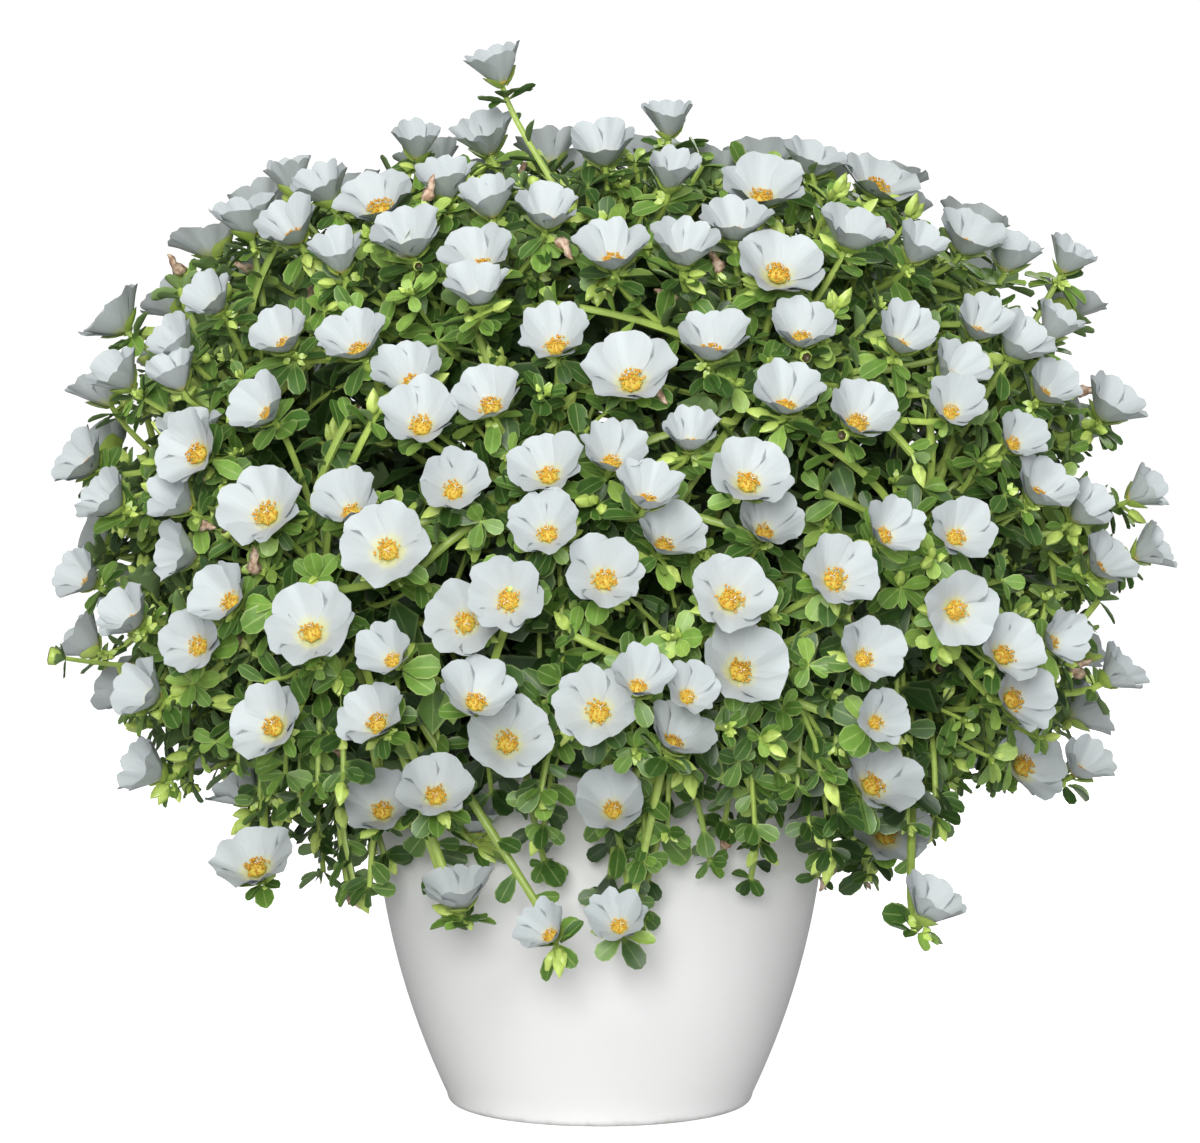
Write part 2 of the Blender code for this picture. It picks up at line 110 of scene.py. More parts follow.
def addSoftLight(name, place, target, size, power, color):
    lamp = bpy.data.lights.new(name, "AREA")
    lamp.shape = "DISK"
    lamp.size = size
    lamp.energy = power
    lamp.color = color
    obj = bpy.data.objects.new(name, lamp)
    bpy.context.scene.collection.objects.link(obj)
    obj.location = place
    obj.rotation_euler = (Vector(target) - Vector(place)).to_track_quat("-Z", "Y").to_euler()


def makeStudio():
    scene = bpy.context.scene
    eye, aim = Vector(studio["eye"]), Vector(studio["aim"])
    bpy.ops.object.camera_add(location=eye, rotation=(aim - eye).to_track_quat("-Z", "Y").to_euler())
    camera = bpy.context.object
    camera.name = "photoCamera"
    camera.data.lens = studio["lens"]
    camera.data.sensor_width = 36
    camera.data.clip_end = 60
    scene.camera = camera
    scene.view_settings.view_transform = "Standard"
    world = bpy.data.worlds.new("softSky")
    world.use_nodes = True
    sky = world.node_tree.nodes["Background"]
    sky.inputs["Color"].default_value = (*studio["worldColor"], 1)
    sky.inputs["Strength"].default_value = studio["worldStrength"]
    scene.world = world
    for light in studio["lights"]:
        addSoftLight(*light)
    deselectAll()
    radius, rise, steps = studio["floorRadius"], studio["floorRise"], studio["floorSteps"]
    bpy.ops.mesh.primitive_circle_add(vertices=96, radius=radius, fill_type="NGON")
    floor = bpy.context.object
    floor.name = "paleFloor"
    bpy.ops.object.mode_set(mode="EDIT")
    for step in range(steps):  # the floor sweeps up all round, so no horizon shows
        low, high = (math.pi / 2 * turn / steps for turn in (step, step + 1))
        spread = (radius + rise * math.sin(high)) / (radius + rise * math.sin(low))
        lift = rise * (math.cos(low) - math.cos(high))
        bpy.ops.mesh.extrude_region_move(TRANSFORM_OT_translate={"value": (0, 0, lift)})
        bpy.ops.transform.resize(value=(spread, spread, 1))
    bpy.ops.mesh.delete(type="ONLY_FACE")
    bpy.ops.mesh.select_all(action="SELECT")
    bpy.ops.mesh.flip_normals()
    bpy.ops.object.mode_set(mode="OBJECT")
    bpy.ops.object.shade_smooth()
    material = bpy.data.materials.new("palePaint")
    material.use_nodes = True
    shader = material.node_tree.nodes["Principled BSDF"]
    shader.inputs["Base Color"].default_value = (*studio["floorColor"], 1)
    shader.inputs["Roughness"].default_value = 0.85
    shader.inputs["Emission Color"].default_value = (1, 1, 1, 1)
    seen = material.node_tree.nodes.new("ShaderNodeLightPath").outputs["Is Camera Ray"]
    glow = material.node_tree.nodes.new("ShaderNodeMath")
    glow.operation = "MULTIPLY"
    glow.inputs[1].default_value = studio["floorGlow"]
    material.node_tree.links.new(seen, glow.inputs[0])
    material.node_tree.links.new(glow.outputs[0], shader.inputs["Emission Strength"])
    material.cycles.emission_sampling = "NONE"
    floor.data.materials.append(material)
    floor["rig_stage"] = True
    deselectAll()


makeStudio()
print("studio ready")

# Where blooms and sprays stand, laid out as the solids are

layout = {
    "seed": 7,
    "domeMiddle": 0.270,
    "domeRadius": 0.278,
    "domeRise": 0.236,
    "domeDrop": 0.112,
    "domeFullness": 2.8,
    "sprays": 28,
    "lowestSpray": -0.34,
    "coreDepth": 0.70,
    "soilLevel": 0.168,
    "soilDome": 0.006,
    "holeDepth": 0.040,
    "holeSpread": 0.088,
    "rootInCore": 0.014,
    "cupLength": 0.019,
    "leanUp": 0.62,
    "lowLeanUp": 1.0,
    "leanFront": 0.38,
    "cupGap": 0.96,
    "mostSlide": 0.034,
    "backLattice": 176,
    "backSpacing": 0.042,
    "backFrom": 0.12,
    "whorlReach": 0.021,
    "whorlRise": 0.3,
    "whorlBelow": 0.004,
    "pixel": 0.00053,
    "axisAcross": 600,
    "groundDown": 1103,
    # each bloom as (across, down, width), read one by one
    "bloomsSeen": (
        (498, 70, 55), (418, 145, 45), (486, 140, 60), (603, 150, 62), (668, 122, 48), (672, 175, 50),
        (813, 160, 65), (880, 178, 80), (762, 188, 80), (291, 178, 40), (325, 190, 55), (378, 200, 75),
        (446, 185, 58), (490, 202, 55), (547, 212, 60), (248, 220, 65), (292, 230, 62), (340, 257, 52),
        (410, 240, 70), (478, 258, 70), (478, 290, 60), (612, 252, 72), (684, 250, 65), (735, 225, 68),
        (852, 232, 72), (780, 265, 95), (918, 248, 40), (968, 238, 70), (1010, 255, 60), (1068, 258, 46),
        (212, 300, 45), (178, 345, 50), (175, 375, 45), (120, 375, 55), (282, 337, 58), (355, 342, 66),
        (410, 375, 68), (263, 408, 60), (420, 418, 76), (488, 398, 70), (555, 338, 66), (630, 373, 86),
        (712, 343, 72), (802, 330, 65), (903, 338, 58), (980, 325, 55), (1018, 345, 60), (1055, 325, 40),
        (955, 370, 60), (787, 397, 68), (861, 415, 70), (945, 412, 56), (1048, 387, 55), (1110, 405, 65),
        (175, 425, 60), (190, 450, 72), (82, 460, 62), (107, 498, 58), (178, 500, 50), (262, 508, 88),
        (348, 505, 66), (385, 545, 88), (450, 482, 66), (547, 468, 72), (613, 455, 64), (648, 492, 62),
        (690, 435, 56), (750, 475, 80), (768, 525, 65), (546, 528, 68), (668, 538, 68), (890, 530, 62),
        (960, 532, 64), (1042, 488, 65), (1025, 435, 50), (1142, 492, 44), (1105, 562, 58), (1148, 550, 46),
        (1085, 510, 44), (82, 577, 52), (163, 550, 58), (127, 615, 58), (223, 597, 64), (193, 643, 62),
        (308, 626, 88), (388, 655, 54), (463, 620, 78), (507, 597, 74), (605, 575, 75), (732, 595, 80),
        (838, 575, 74), (960, 610, 72), (868, 655, 66), (745, 665, 90), (690, 692, 42), (640, 680, 60),
        (597, 708, 80), (678, 735, 68), (475, 698, 74), (508, 738, 86), (266, 722, 82), (372, 717, 70),
        (145, 693, 58), (148, 770, 56), (1010, 650, 70), (1022, 697, 74), (1060, 640, 46), (1118, 672, 54),
        (1032, 762, 80), (1085, 765, 54), (880, 720, 54), (880, 780, 82), (890, 830, 90), (612, 805, 68),
        (435, 790, 70), (380, 805, 72), (475, 820, 44), (252, 860, 86), (458, 893, 70), (618, 922, 58),
        (545, 932, 48), (932, 908, 62),
    ),
    "seedHeadSeen": (62, 658),
}
eye = Vector(studio["eye"])


def domeLevel(point):
    rise = layout["domeRise"] if point.z > layout["domeMiddle"] else layout["domeDrop"]
    across = math.hypot(point.x, point.y) / layout["domeRadius"]
    upward = abs(point.z - layout["domeMiddle"]) / rise
    full = layout["domeFullness"]
    return (across ** full + upward ** full) ** (1 / full)


def onDome(direction, share):
    middle = Vector((0, 0, layout["domeMiddle"]))
    return middle + direction * share / domeLevel(middle + direction)


def domeNormal(point):
    rise = layout["domeRise"] if point.z > layout["domeMiddle"] else layout["domeDrop"] * 1.6
    radius = layout["domeRadius"]
    return Vector((point.x / radius ** 2, point.y / radius ** 2, (point.z - layout["domeMiddle"]) / rise ** 2))


def goldenDirection(number, count, lowest):
    height = 1 - (number + 0.5) * (1 - lowest) / count
    level = math.sqrt(1 - height * height)
    angle = number * math.pi * (3 - math.sqrt(5))
    return Vector((level * math.cos(angle), level * math.sin(angle), height))


def seenOnDome(across, down):
    pixel = layout["pixel"]
    aim = Vector(((across - layout["axisAcross"]) * pixel, 0, (layout["groundDown"] - down) * pixel))
    sight = (aim - eye).normalized()
    best = None
    for step in range(320):
        point = eye + sight * (2.0 - 0.36 + 0.5 * step / 320)
        level = domeLevel(point)
        if best is None or level < best[0]:
            best = (level, point)
        if level <= 1:
            break
    return best[1], sight


def slideApart(blooms):
    slid = [0.0] * len(blooms)
    most = layout["mostSlide"]
    for _ in range(80):
        for i, one in enumerate(blooms):
            for j in range(i):
                other = blooms[j]
                apart = one["middle"] + one["slide"] * slid[i] - other["middle"] - other["slide"] * slid[j]
                missing = (one["radius"] + other["radius"]) * layout["cupGap"] - apart.length
                if missing <= 0:
                    continue
                ahead = 1 if apart.dot(one["slide"]) > 0 else -1
                slid[i] = clamp(slid[i] + ahead * missing * 0.5, -most, most)
                slid[j] = clamp(slid[j] - ahead * missing * 0.5, -most, most)
    for bloom, distance in zip(blooms, slid):
        bloom["middle"] = bloom["middle"] + bloom["slide"] * distance


def planBlooms():
    draws = random.Random(layout["seed"])
    blooms = []
    for across, down, width in layout["bloomsSeen"]:
        point, sight = seenOnDome(across, down)
        radius = clamp(width * layout["pixel"] * (point - eye).length / 2.0 / 2, 0.0125, 0.0205)
        blooms.append({"middle": point, "radius": radius, "slide": sight, "front": True})
    for number in range(layout["backLattice"]):
        direction = goldenDirection(number, layout["backLattice"], -0.5)
        point = onDome(direction, draws.uniform(0.95, 1.03))
        radius = draws.uniform(0.0155, 0.0195)
        shows = domeNormal(point).normalized().dot((eye - point).normalized())
        spacing = layout["backSpacing"]
        if shows > layout["backFrom"] or any((point - other["middle"]).length < spacing for other in blooms):
            continue
        blooms.append({"middle": point, "radius": radius, "slide": direction, "front": False})
    slideApart(blooms)
    for bloom in blooms:
        low = max(0, (layout["domeMiddle"] - bloom["middle"].z) / layout["domeDrop"])
        leanUp = layout["leanUp"] + layout["lowLeanUp"] * low
        lean = Vector((0, -layout["leanFront"] if bloom["front"] else layout["leanFront"] / 2, leanUp))
        wander = Vector([draws.uniform(-0.26, 0.26) for _ in range(3)])
        bloom["axis"] = (domeNormal(bloom["middle"]).normalized() + lean + wander).normalized()
        bloom["twist"] = draws.uniform(0, math.tau)
        bloom["uneven"] = [draws.uniform(0.75, 1.05) for _ in range(3)]
    return blooms


def planSprays():
    sprays = []
    for number in range(layout["sprays"]):
        direction = goldenDirection(number, layout["sprays"], layout["lowestSpray"])
        outward = Vector((direction.x, direction.y, 0))
        steep = math.asin(direction.z) / (math.pi / 2)
        hole = outward.normalized() * layout["holeSpread"] * min(1, 1.12 * (1 - max(steep, 0)) ** 0.8)
        hole.z = layout["soilLevel"] - layout["holeDepth"]
        sprays.append({
            "name": f"spray_{number + 1:02d}", "core": onDome(direction, layout["coreDepth"]),
            "hole": hole, "outward": direction, "blooms": [],
        })
    return sprays


def cupLength(bloom):
    return layout["cupLength"] * (0.75 + 0.25 * bloom["radius"] / 0.02)


def rootOf(middle, spray):
    return spray["core"] + (middle - spray["core"]).normalized() * layout["rootInCore"]


def ringRound(middle, axis, side, radii, lifts, twist):
    side = (side - axis * side.dot(axis)).normalized()
    front = axis.cross(side)
    ring = []
    for i, (radius, lift) in enumerate(zip(radii, lifts)):
        angle = twist + math.tau * i / len(radii)
        ring.append(middle + (side * math.cos(angle) + front * math.sin(angle)) * radius + axis * lift)
    return ring


def cupSide(base, axis, root):
    along = (base - root).normalized()
    side = along.cross(axis)
    return along.orthogonal() if side.length < 0.05 else side


def standOnSolids(blooms, sprays):
    # each bloom takes the spray, depth and lean that its solid got, found from the rim's corners
    trees = []
    for spray in sprays:
        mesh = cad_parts[spray["name"]].data
        tree = KDTree(len(mesh.vertices))
        for vertex in mesh.vertices:
            tree.insert(vertex.co, vertex.index)
        tree.balance()
        trees.append(tree)
    worst = 0
    for bloom in blooms:
        home, axis = bloom["middle"].copy(), bloom["axis"].copy()
        tilt = axis.orthogonal().normalized()
        radius, length = bloom["radius"], cupLength(bloom)
        near = sorted(range(len(sprays)), key=lambda i: (sprays[i]["core"] - home).length)[:3]
        found = None
        for owner in near:
            for sink in (0, 0.005, 0.010, -0.006):
                for lean in (0, 0.35, -0.35):
                    leaned = (axis + tilt * lean).normalized()
                    middle = home - domeNormal(home).normalized() * sink
                    base = middle - leaned * length * 0.55
                    side = cupSide(base, leaned, rootOf(middle, sprays[owner]))
                    rim = ringRound(base, leaned, side, [radius, radius * 0.82] * 5,
                                    [length, length * 0.82] * 5, bloom["twist"])
                    off = sum(trees[owner].find(point)[2] for point in rim)
                    if found is None or off < found[0]:
                        found = (off, owner, leaned, middle, base, side)
        off, owner, bloom["axis"], bloom["middle"], bloom["base"], side = found
        worst = max(worst, off / 10)
        bloom["side"] = (side - bloom["axis"] * side.dot(bloom["axis"])).normalized()
        bloom["node"] = bloom["base"] - bloom["axis"] * layout["whorlBelow"]
        bloom["root"] = rootOf(bloom["middle"], sprays[owner])
        best = None
        for share in (1, 0.7, 0.45):
            tips = [layout["whorlReach"] * share * uneven for uneven in bloom["uneven"]]
            reach = [length for tip in tips for length in (tip, 0)]
            lifts = [lift for tip in tips for lift in (tip * layout["whorlRise"], 0)]
            star = ringRound(bloom["node"], bloom["axis"], bloom["side"], reach, lifts, bloom["twist"])[::2]
            off = sum(trees[owner].find(point)[2] for point in star)
            if best is None or off < best[0]:
                best = (off, share)
        bloom["whorl"] = layout["whorlReach"] * best[1]
        sprays[owner]["blooms"].append(bloom)
    print("blooms stand on the solids to within", round(worst * 1000, 2), "mm")


blooms = planBlooms()
sprays = planSprays()
standOnSolids(blooms, sprays)
print(len(blooms), "blooms on", len(sprays), "sprays laid out")

# Materials


def addNode(tree, kind, inputs=None, **settings):
    node = tree.nodes.new(kind)
    for key, value in settings.items():
        setattr(node, key, value)
    for key, value in (inputs or {}).items():
        if isinstance(value, bpy.types.NodeSocket):
            tree.links.new(value, node.inputs[key])
        else:
            node.inputs[key].default_value = value
    return node


def mixColors(tree, factor, first, second, blend="MIX"):
    first, second = ((*color, 1) if isinstance(color, tuple) else color for color in (first, second))
    node = addNode(tree, "ShaderNodeMix", {0: factor, 6: first, 7: second}, data_type="RGBA", blend_type=blend)
    return node.outputs[2]


def doMath(tree, operation, *values):
    return addNode(tree, "ShaderNodeMath", dict(enumerate(values)), operation=operation).outputs[0]


def between(tree, value, low, high, start=0.0, end=1.0):
    node = addNode(tree, "ShaderNodeMapRange", {0: value, 1: low, 2: high, 3: start, 4: end},
                   interpolation_type="SMOOTHSTEP")
    return node.outputs[0]


def noiseOf(tree, places, scale, detail, roughness=0.5):
    return addNode(tree, "ShaderNodeTexNoise", {
        "Vector": places, "Scale": scale, "Detail": detail, "Roughness": roughness}).outputs[0]


def rampOf(tree, value, stops):
    node = addNode(tree, "ShaderNodeValToRGB", {0: value})
    ramp = node.color_ramp
    while len(ramp.elements) < len(stops):
        ramp.elements.new(0.5)
    for element, (place, color) in zip(ramp.elements, stops):
        element.position = place
        element.color = (*color, 1)
    return node.outputs[0]


def startMaterial(name, roughness, **sockets):
    material = bpy.data.materials.new(name)
    material.use_nodes = True
    tree = material.node_tree
    shader = tree.nodes["Principled BSDF"]
    shader.inputs["Roughness"].default_value = roughness
    for key, value in sockets.items():
        shader.inputs[key.replace("_", " ")].default_value = value
    return material, tree, shader


def makeMottle():
    # soft blotches that lighten and darken a colour, and a fine relief to go with them
    group = bpy.data.node_groups.new("livingMottle", "ShaderNodeTree")
    for name, kind in (("Color", "NodeSocketColor"), ("Coordinates", "NodeSocketVector"),
                       ("Scale", "NodeSocketFloat"), ("Amount", "NodeSocketFloat")):
        group.interface.new_socket(name=name, in_out="INPUT", socket_type=kind)
    group.interface.new_socket(name="Color", in_out="OUTPUT", socket_type="NodeSocketColor")
    group.interface.new_socket(name="Relief", in_out="OUTPUT", socket_type="NodeSocketFloat")
    start = group.nodes.new("NodeGroupInput")
    end = group.nodes.new("NodeGroupOutput")
    blotch = noiseOf(group, start.outputs["Coordinates"], start.outputs["Scale"], 3.0, 0.6)
    swing = doMath(group, "MULTIPLY", doMath(group, "SUBTRACT", blotch, 0.5), start.outputs["Amount"])
    shade = doMath(group, "ADD", swing, 1.0)
    level = addNode(group, "ShaderNodeCombineColor", {0: shade, 1: shade, 2: shade}).outputs[0]
    group.links.new(mixColors(group, 1.0, start.outputs["Color"], level, "MULTIPLY"), end.inputs["Color"])
    group.links.new(blotch, end.inputs["Relief"])
    return group


mottle = makeMottle()


def addMottle(tree, color, coordinates, scale, amount):
    inputs = {"Color": color, "Coordinates": coordinates, "Scale": scale, "Amount": amount}
    node = addNode(tree, "ShaderNodeGroup", inputs, node_tree=mottle)
    return node.outputs["Color"], node.outputs["Relief"]


def addBump(tree, shader, height, strength, distance):
    bump = addNode(tree, "ShaderNodeBump", {"Height": height, "Strength": strength, "Distance": distance})
    tree.links.new(bump.outputs[0], shader.inputs["Normal"])


def readGrowth(tree):
    # red is a copy's own tint (on leaves inside the dome it is partly painted shade), green the part of it, blue
    # a second random value
    color = addNode(tree, "ShaderNodeAttribute", attribute_name="growth").outputs["Color"]
    return addNode(tree, "ShaderNodeSeparateColor", {0: color}).outputs


def objectPlaces(tree):
    return tree.nodes.new("ShaderNodeTexCoord").outputs["Object"]


leafLook = {
    # greens by tint; leaves deep in the dome are pushed towards the dark end as painted shade
    "greens": ((0.0, (0.012, 0.038, 0.005)), (0.35, (0.049, 0.121, 0.018)), (0.7, (0.172, 0.318, 0.050)),
               (1.0, (0.430, 0.595, 0.128))),
    "margin": (0.50, 0.61, 0.23),
    "under": (0.185, 0.285, 0.110),
    "foot": (0.31, 0.45, 0.09),
    "gloss": 0.46,
}


def leafMaterial():
    material, tree, shader = startMaterial("fleshyLeaf", leafLook["gloss"], Specular_IOR_Level=0.5)
    growth = readGrowth(tree)
    uv = addNode(tree, "ShaderNodeUVMap", uv_map="UVMap").outputs[0]
    apart = addNode(tree, "ShaderNodeSeparateXYZ", {0: uv}).outputs
    edge = doMath(tree, "ABSOLUTE", doMath(tree, "MULTIPLY_ADD", apart[0], 2.0, -1.0))
    green = rampOf(tree, growth[0], leafLook["greens"])
    green, relief = addMottle(tree, green, objectPlaces(tree), 240.0, 0.7)
    # the margin and rib pale only on lighter leaves, so leaves darkened as painted shade inside the dome stay
    # plain dark
    paleness = between(tree, growth[0], 0.0, 0.5, 0.08, 0.42)
    margin = doMath(tree, "MULTIPLY", between(tree, edge, 0.78, 0.98), paleness)
    green = mixColors(tree, margin, green, leafLook["margin"])
    rib = doMath(tree, "MULTIPLY", between(tree, edge, 0.02, 0.12, 0.75, 0.0), paleness)
    green = mixColors(tree, rib, green, leafLook["margin"])
    foot = between(tree, apart[1], 0.0, 0.15, 0.55, 0.0)
    green = mixColors(tree, foot, green, leafLook["foot"])
    green = mixColors(tree, doMath(tree, "MULTIPLY", growth[1], 0.85), green, leafLook["under"])
    tree.links.new(green, shader.inputs["Base Color"])
    tree.links.new(between(tree, growth[1], 0.0, 1.0, leafLook["gloss"], 0.6), shader.inputs["Roughness"])
    height = doMath(tree, "MULTIPLY_ADD", rib, -1.2, relief)
    addBump(tree, shader, height, 0.25, 0.0006)
    return material


# shade is a painted shade for the petals' fold furrows, and also the tone of their fine veins
petalLook = {"white": (0.472, 0.511, 0.520), "shade": (0.438, 0.478, 0.492), "throat": (0.60, 0.62, 0.24),
             "furrows": 9.0}


def petalMaterial():
    material, tree, shader = startMaterial("whitePetal", 0.55, Specular_IOR_Level=0.3)
    growth = readGrowth(tree)
    uv = addNode(tree, "ShaderNodeUVMap", uv_map="UVMap").outputs[0]
    apart = addNode(tree, "ShaderNodeSeparateXYZ", {0: uv}).outputs
    across = doMath(tree, "SUBTRACT", apart[0], 0.5)
    shift = doMath(tree, "MULTIPLY", growth[2], 40.0)
    lines = addNode(tree, "ShaderNodeCombineXYZ", {
        0: doMath(tree, "MULTIPLY", across, petalLook["furrows"]),
        1: doMath(tree, "MULTIPLY", apart[1], 1.3), 2: shift}).outputs[0]
    folds = noiseOf(tree, lines, 1.0, 2.0, 0.55)
    veins = addNode(tree, "ShaderNodeCombineXYZ", {
        0: doMath(tree, "MULTIPLY", across, petalLook["furrows"] * 5),
        1: doMath(tree, "MULTIPLY", apart[1], 2.0), 2: shift}).outputs[0]
    fine = noiseOf(tree, veins, 1.0, 1.0)
    # the fold furrows are painted darker as painted shade; the fine vein lines below take the same colour as
    # their tone
    white = mixColors(tree, between(tree, folds, 0.52, 0.30, 0.0, 0.55), petalLook["white"], petalLook["shade"])
    white = mixColors(tree, between(tree, fine, 0.45, 0.25, 0.0, 0.25), white, petalLook["shade"])
    throat = between(tree, apart[1], 0.10, 0.42, 0.80, 0.0)
    white = mixColors(tree, throat, white, petalLook["throat"])
    tree.links.new(white, shader.inputs["Base Color"])
    height = doMath(tree, "MULTIPLY_ADD", fine, 0.25, folds)
    addBump(tree, shader, height, 0.22, 0.0010)
    return material


heartLook = {"anther": (0.62, 0.26, 0.013), "antherPale": (0.69, 0.40, 0.032), "mound": (0.62, 0.46, 0.06),
             "filament": (0.66, 0.66, 0.12), "stigma": (0.86, 0.86, 0.72)}


def heartMaterial():
    material, tree, shader = startMaterial("stamenTuft", 0.6)
    growth = readGrowth(tree)
    grain = noiseOf(tree, objectPlaces(tree), 700.0, 2.0)
    pollen = mixColors(tree, between(tree, grain, 0.35, 0.65), heartLook["anther"], heartLook["antherPale"])
    color = mixColors(tree, between(tree, growth[1], 0.05, 0.2), heartLook["filament"], heartLook["mound"])
    color = mixColors(tree, between(tree, growth[1], 0.3, 0.45), color, pollen)
    color = mixColors(tree, between(tree, growth[1], 0.6, 0.9), color, heartLook["stigma"])
    tree.links.new(color, shader.inputs["Base Color"])
    addBump(tree, shader, grain, 0.4, 0.0003)
    return material


stemLook = {"fresh": (0.41, 0.55, 0.11), "old": (0.28, 0.39, 0.08)}


def stemMaterial():
    material, tree, shader = startMaterial("juicyStem", 0.42)
    places = objectPlaces(tree)
    patches = noiseOf(tree, places, 14.0, 2.0)
    color = mixColors(tree, between(tree, patches, 0.42, 0.62), stemLook["old"], stemLook["fresh"])
    color, relief = addMottle(tree, color, places, 320.0, 0.5)
    tree.links.new(color, shader.inputs["Base Color"])
    addBump(tree, shader, relief, 0.2, 0.0004)
    return material


budLook = {"foot": (0.24, 0.38, 0.05), "tip": (0.56, 0.70, 0.17), "paintedHollowShade": (0.070, 0.050, 0.020)}


def budMaterial():
    material, tree, shader = startMaterial("limeBud", 0.40)
    growth = readGrowth(tree)
    color = mixColors(tree, growth[0], budLook["foot"], budLook["tip"])
    color, relief = addMottle(tree, color, objectPlaces(tree), 260.0, 0.6)
    # the seed cup's inner floor is painted near black, as painted shade in its hollow
    color = mixColors(tree, growth[1], color, budLook["paintedHollowShade"])
    tree.links.new(color, shader.inputs["Base Color"])
    addBump(tree, shader, relief, 0.25, 0.0004)
    return material


witheredLook = {"pale": (0.60, 0.46, 0.36), "tan": (0.66, 0.50, 0.36), "brown": (0.36, 0.22, 0.14)}


def witheredMaterial():
    material, tree, shader = startMaterial("driedPetal", 0.8)
    streaks = noiseOf(tree, objectPlaces(tree), 380.0, 4.0)
    growth = readGrowth(tree)
    pale = mixColors(tree, growth[0], witheredLook["pale"], witheredLook["tan"])
    color = mixColors(tree, between(tree, streaks, 0.60, 0.38), pale, witheredLook["brown"])
    tree.links.new(color, shader.inputs["Base Color"])
    addBump(tree, shader, streaks, 0.6, 0.0008)
    return material


plasticLook = {"white": (0.80, 0.80, 0.797), "scuff": (0.42, 0.40, 0.37), "gloss": 0.34, "worn": 0.46}


def plasticMaterial():
    material, tree, shader = startMaterial("satinWhitePlastic", plasticLook["gloss"])
    places = objectPlaces(tree)
    color, _ = addMottle(tree, (*plasticLook["white"], 1), places, 6.0, 0.05)
    height = addNode(tree, "ShaderNodeSeparateXYZ", {0: places}).outputs[2]
    dust = noiseOf(tree, places, 90.0, 5.0, 0.7)
    scuff = doMath(tree, "MULTIPLY", between(tree, height, 0.006, 0.0, 0.0, 0.5), between(tree, dust, 0.45, 0.7))
    color = mixColors(tree, scuff, color, plasticLook["scuff"])
    tree.links.new(color, shader.inputs["Base Color"])
    roughness = between(tree, dust, 0.3, 0.8, plasticLook["gloss"], plasticLook["worn"])
    tree.links.new(roughness, shader.inputs["Roughness"])
    peel = noiseOf(tree, places, 420.0, 2.0)
    addBump(tree, shader, peel, 0.05, 0.0004)
    return material


soilLook = {"dark": (0.018, 0.011, 0.007), "light": (0.105, 0.068, 0.042), "perlite": (0.55, 0.52, 0.47)}


def soilMaterial():
    material, tree, shader = startMaterial("pottingMix", 0.95)
    places = objectPlaces(tree)
    crumb = noiseOf(tree, places, 260.0, 6.0, 0.75)
    grains = addNode(tree, "ShaderNodeTexVoronoi", {"Vector": places, "Scale": 160.0}).outputs["Distance"]
    color = mixColors(tree, between(tree, crumb, 0.38, 0.66), soilLook["dark"], soilLook["light"])
    chips = doMath(tree, "MULTIPLY", between(tree, grains, 0.16, 0.10), between(tree, crumb, 0.55, 0.60))
    color = mixColors(tree, chips, color, soilLook["perlite"])
    tree.links.new(color, shader.inputs["Base Color"])
    addBump(tree, shader, doMath(tree, "SUBTRACT", crumb, grains), 1.0, 0.003)
    return material


materials = {
    "foliage": leafMaterial(), "petals": petalMaterial(), "stamens": heartMaterial(), "stems": stemMaterial(),
    "buds": budMaterial(), "withered": witheredMaterial(), "white_plastic": plasticMaterial(),
    "potting_mix": soilMaterial(),
}
print("materials ready")

# Modelling helpers


def turnedPiece(name, rings, segments):
    # a round body raised ring by ring from its underside: each ring is (radius, height)
    deselectAll()
    radius, height = rings[0]
    bpy.ops.mesh.primitive_circle_add(vertices=segments, radius=radius, fill_type="NGON", location=(0, 0, height))
    obj = bpy.context.object
    obj.name = name
    applyPlace()
    editAll()
    for (radius, height), (wider, higher) in zip(rings, rings[1:]):
        bpy.ops.mesh.extrude_region_move(TRANSFORM_OT_translate={"value": (0, 0, higher - height)})
        bpy.ops.transform.resize(value=(wider / radius, wider / radius, 1))
    bpy.ops.mesh.select_all(action="SELECT")
    bpy.ops.mesh.normals_make_consistent(inside=False)
    bpy.ops.object.mode_set(mode="OBJECT")
    return obj


def flatSheet(name, columns, rows):
    # a grid from x -1 to 1 and y 0 to 1
    deselectAll()
    bpy.ops.mesh.primitive_grid_add(x_subdivisions=columns, y_subdivisions=rows, size=2, location=(0, 0, 0))
    obj = bpy.context.object
    obj.name = name
    editAll()
    bpy.ops.transform.translate(value=(0, 1, 0))
    bpy.ops.object.mode_set(mode="OBJECT")
    obj.scale = (1, 0.5, 1)
    applyPlace()
    return obj


def selectVertices(test):
    mesh = bmesh.from_edit_mesh(bpy.context.object.data)
    wanted = [bool(test(vertex)) for vertex in mesh.verts]
    for face in mesh.faces:
        face.select = False
    for edge in mesh.edges:
        edge.select = False
    for vertex, chosen in zip(mesh.verts, wanted):
        vertex.select = chosen
    mesh.select_flush_mode()
    bmesh.update_edit_mesh(bpy.context.object.data)


def backSheet(obj, depth):
    # gives a sheet its underside: a flipped copy that is lower between the edges and welded to them
    bpy.context.tool_settings.mesh_select_mode = (True, False, False)
    editAll()
    bpy.ops.mesh.duplicate()
    bpy.ops.mesh.flip_normals()
    selectVertices(lambda vertex: vertex.select and not vertex.is_boundary)
    bpy.ops.transform.translate(value=(0, 0, -depth))
    bpy.ops.mesh.select_all(action="SELECT")
    bpy.ops.mesh.remove_doubles(threshold=0.0001)
    bpy.ops.object.mode_set(mode="OBJECT")


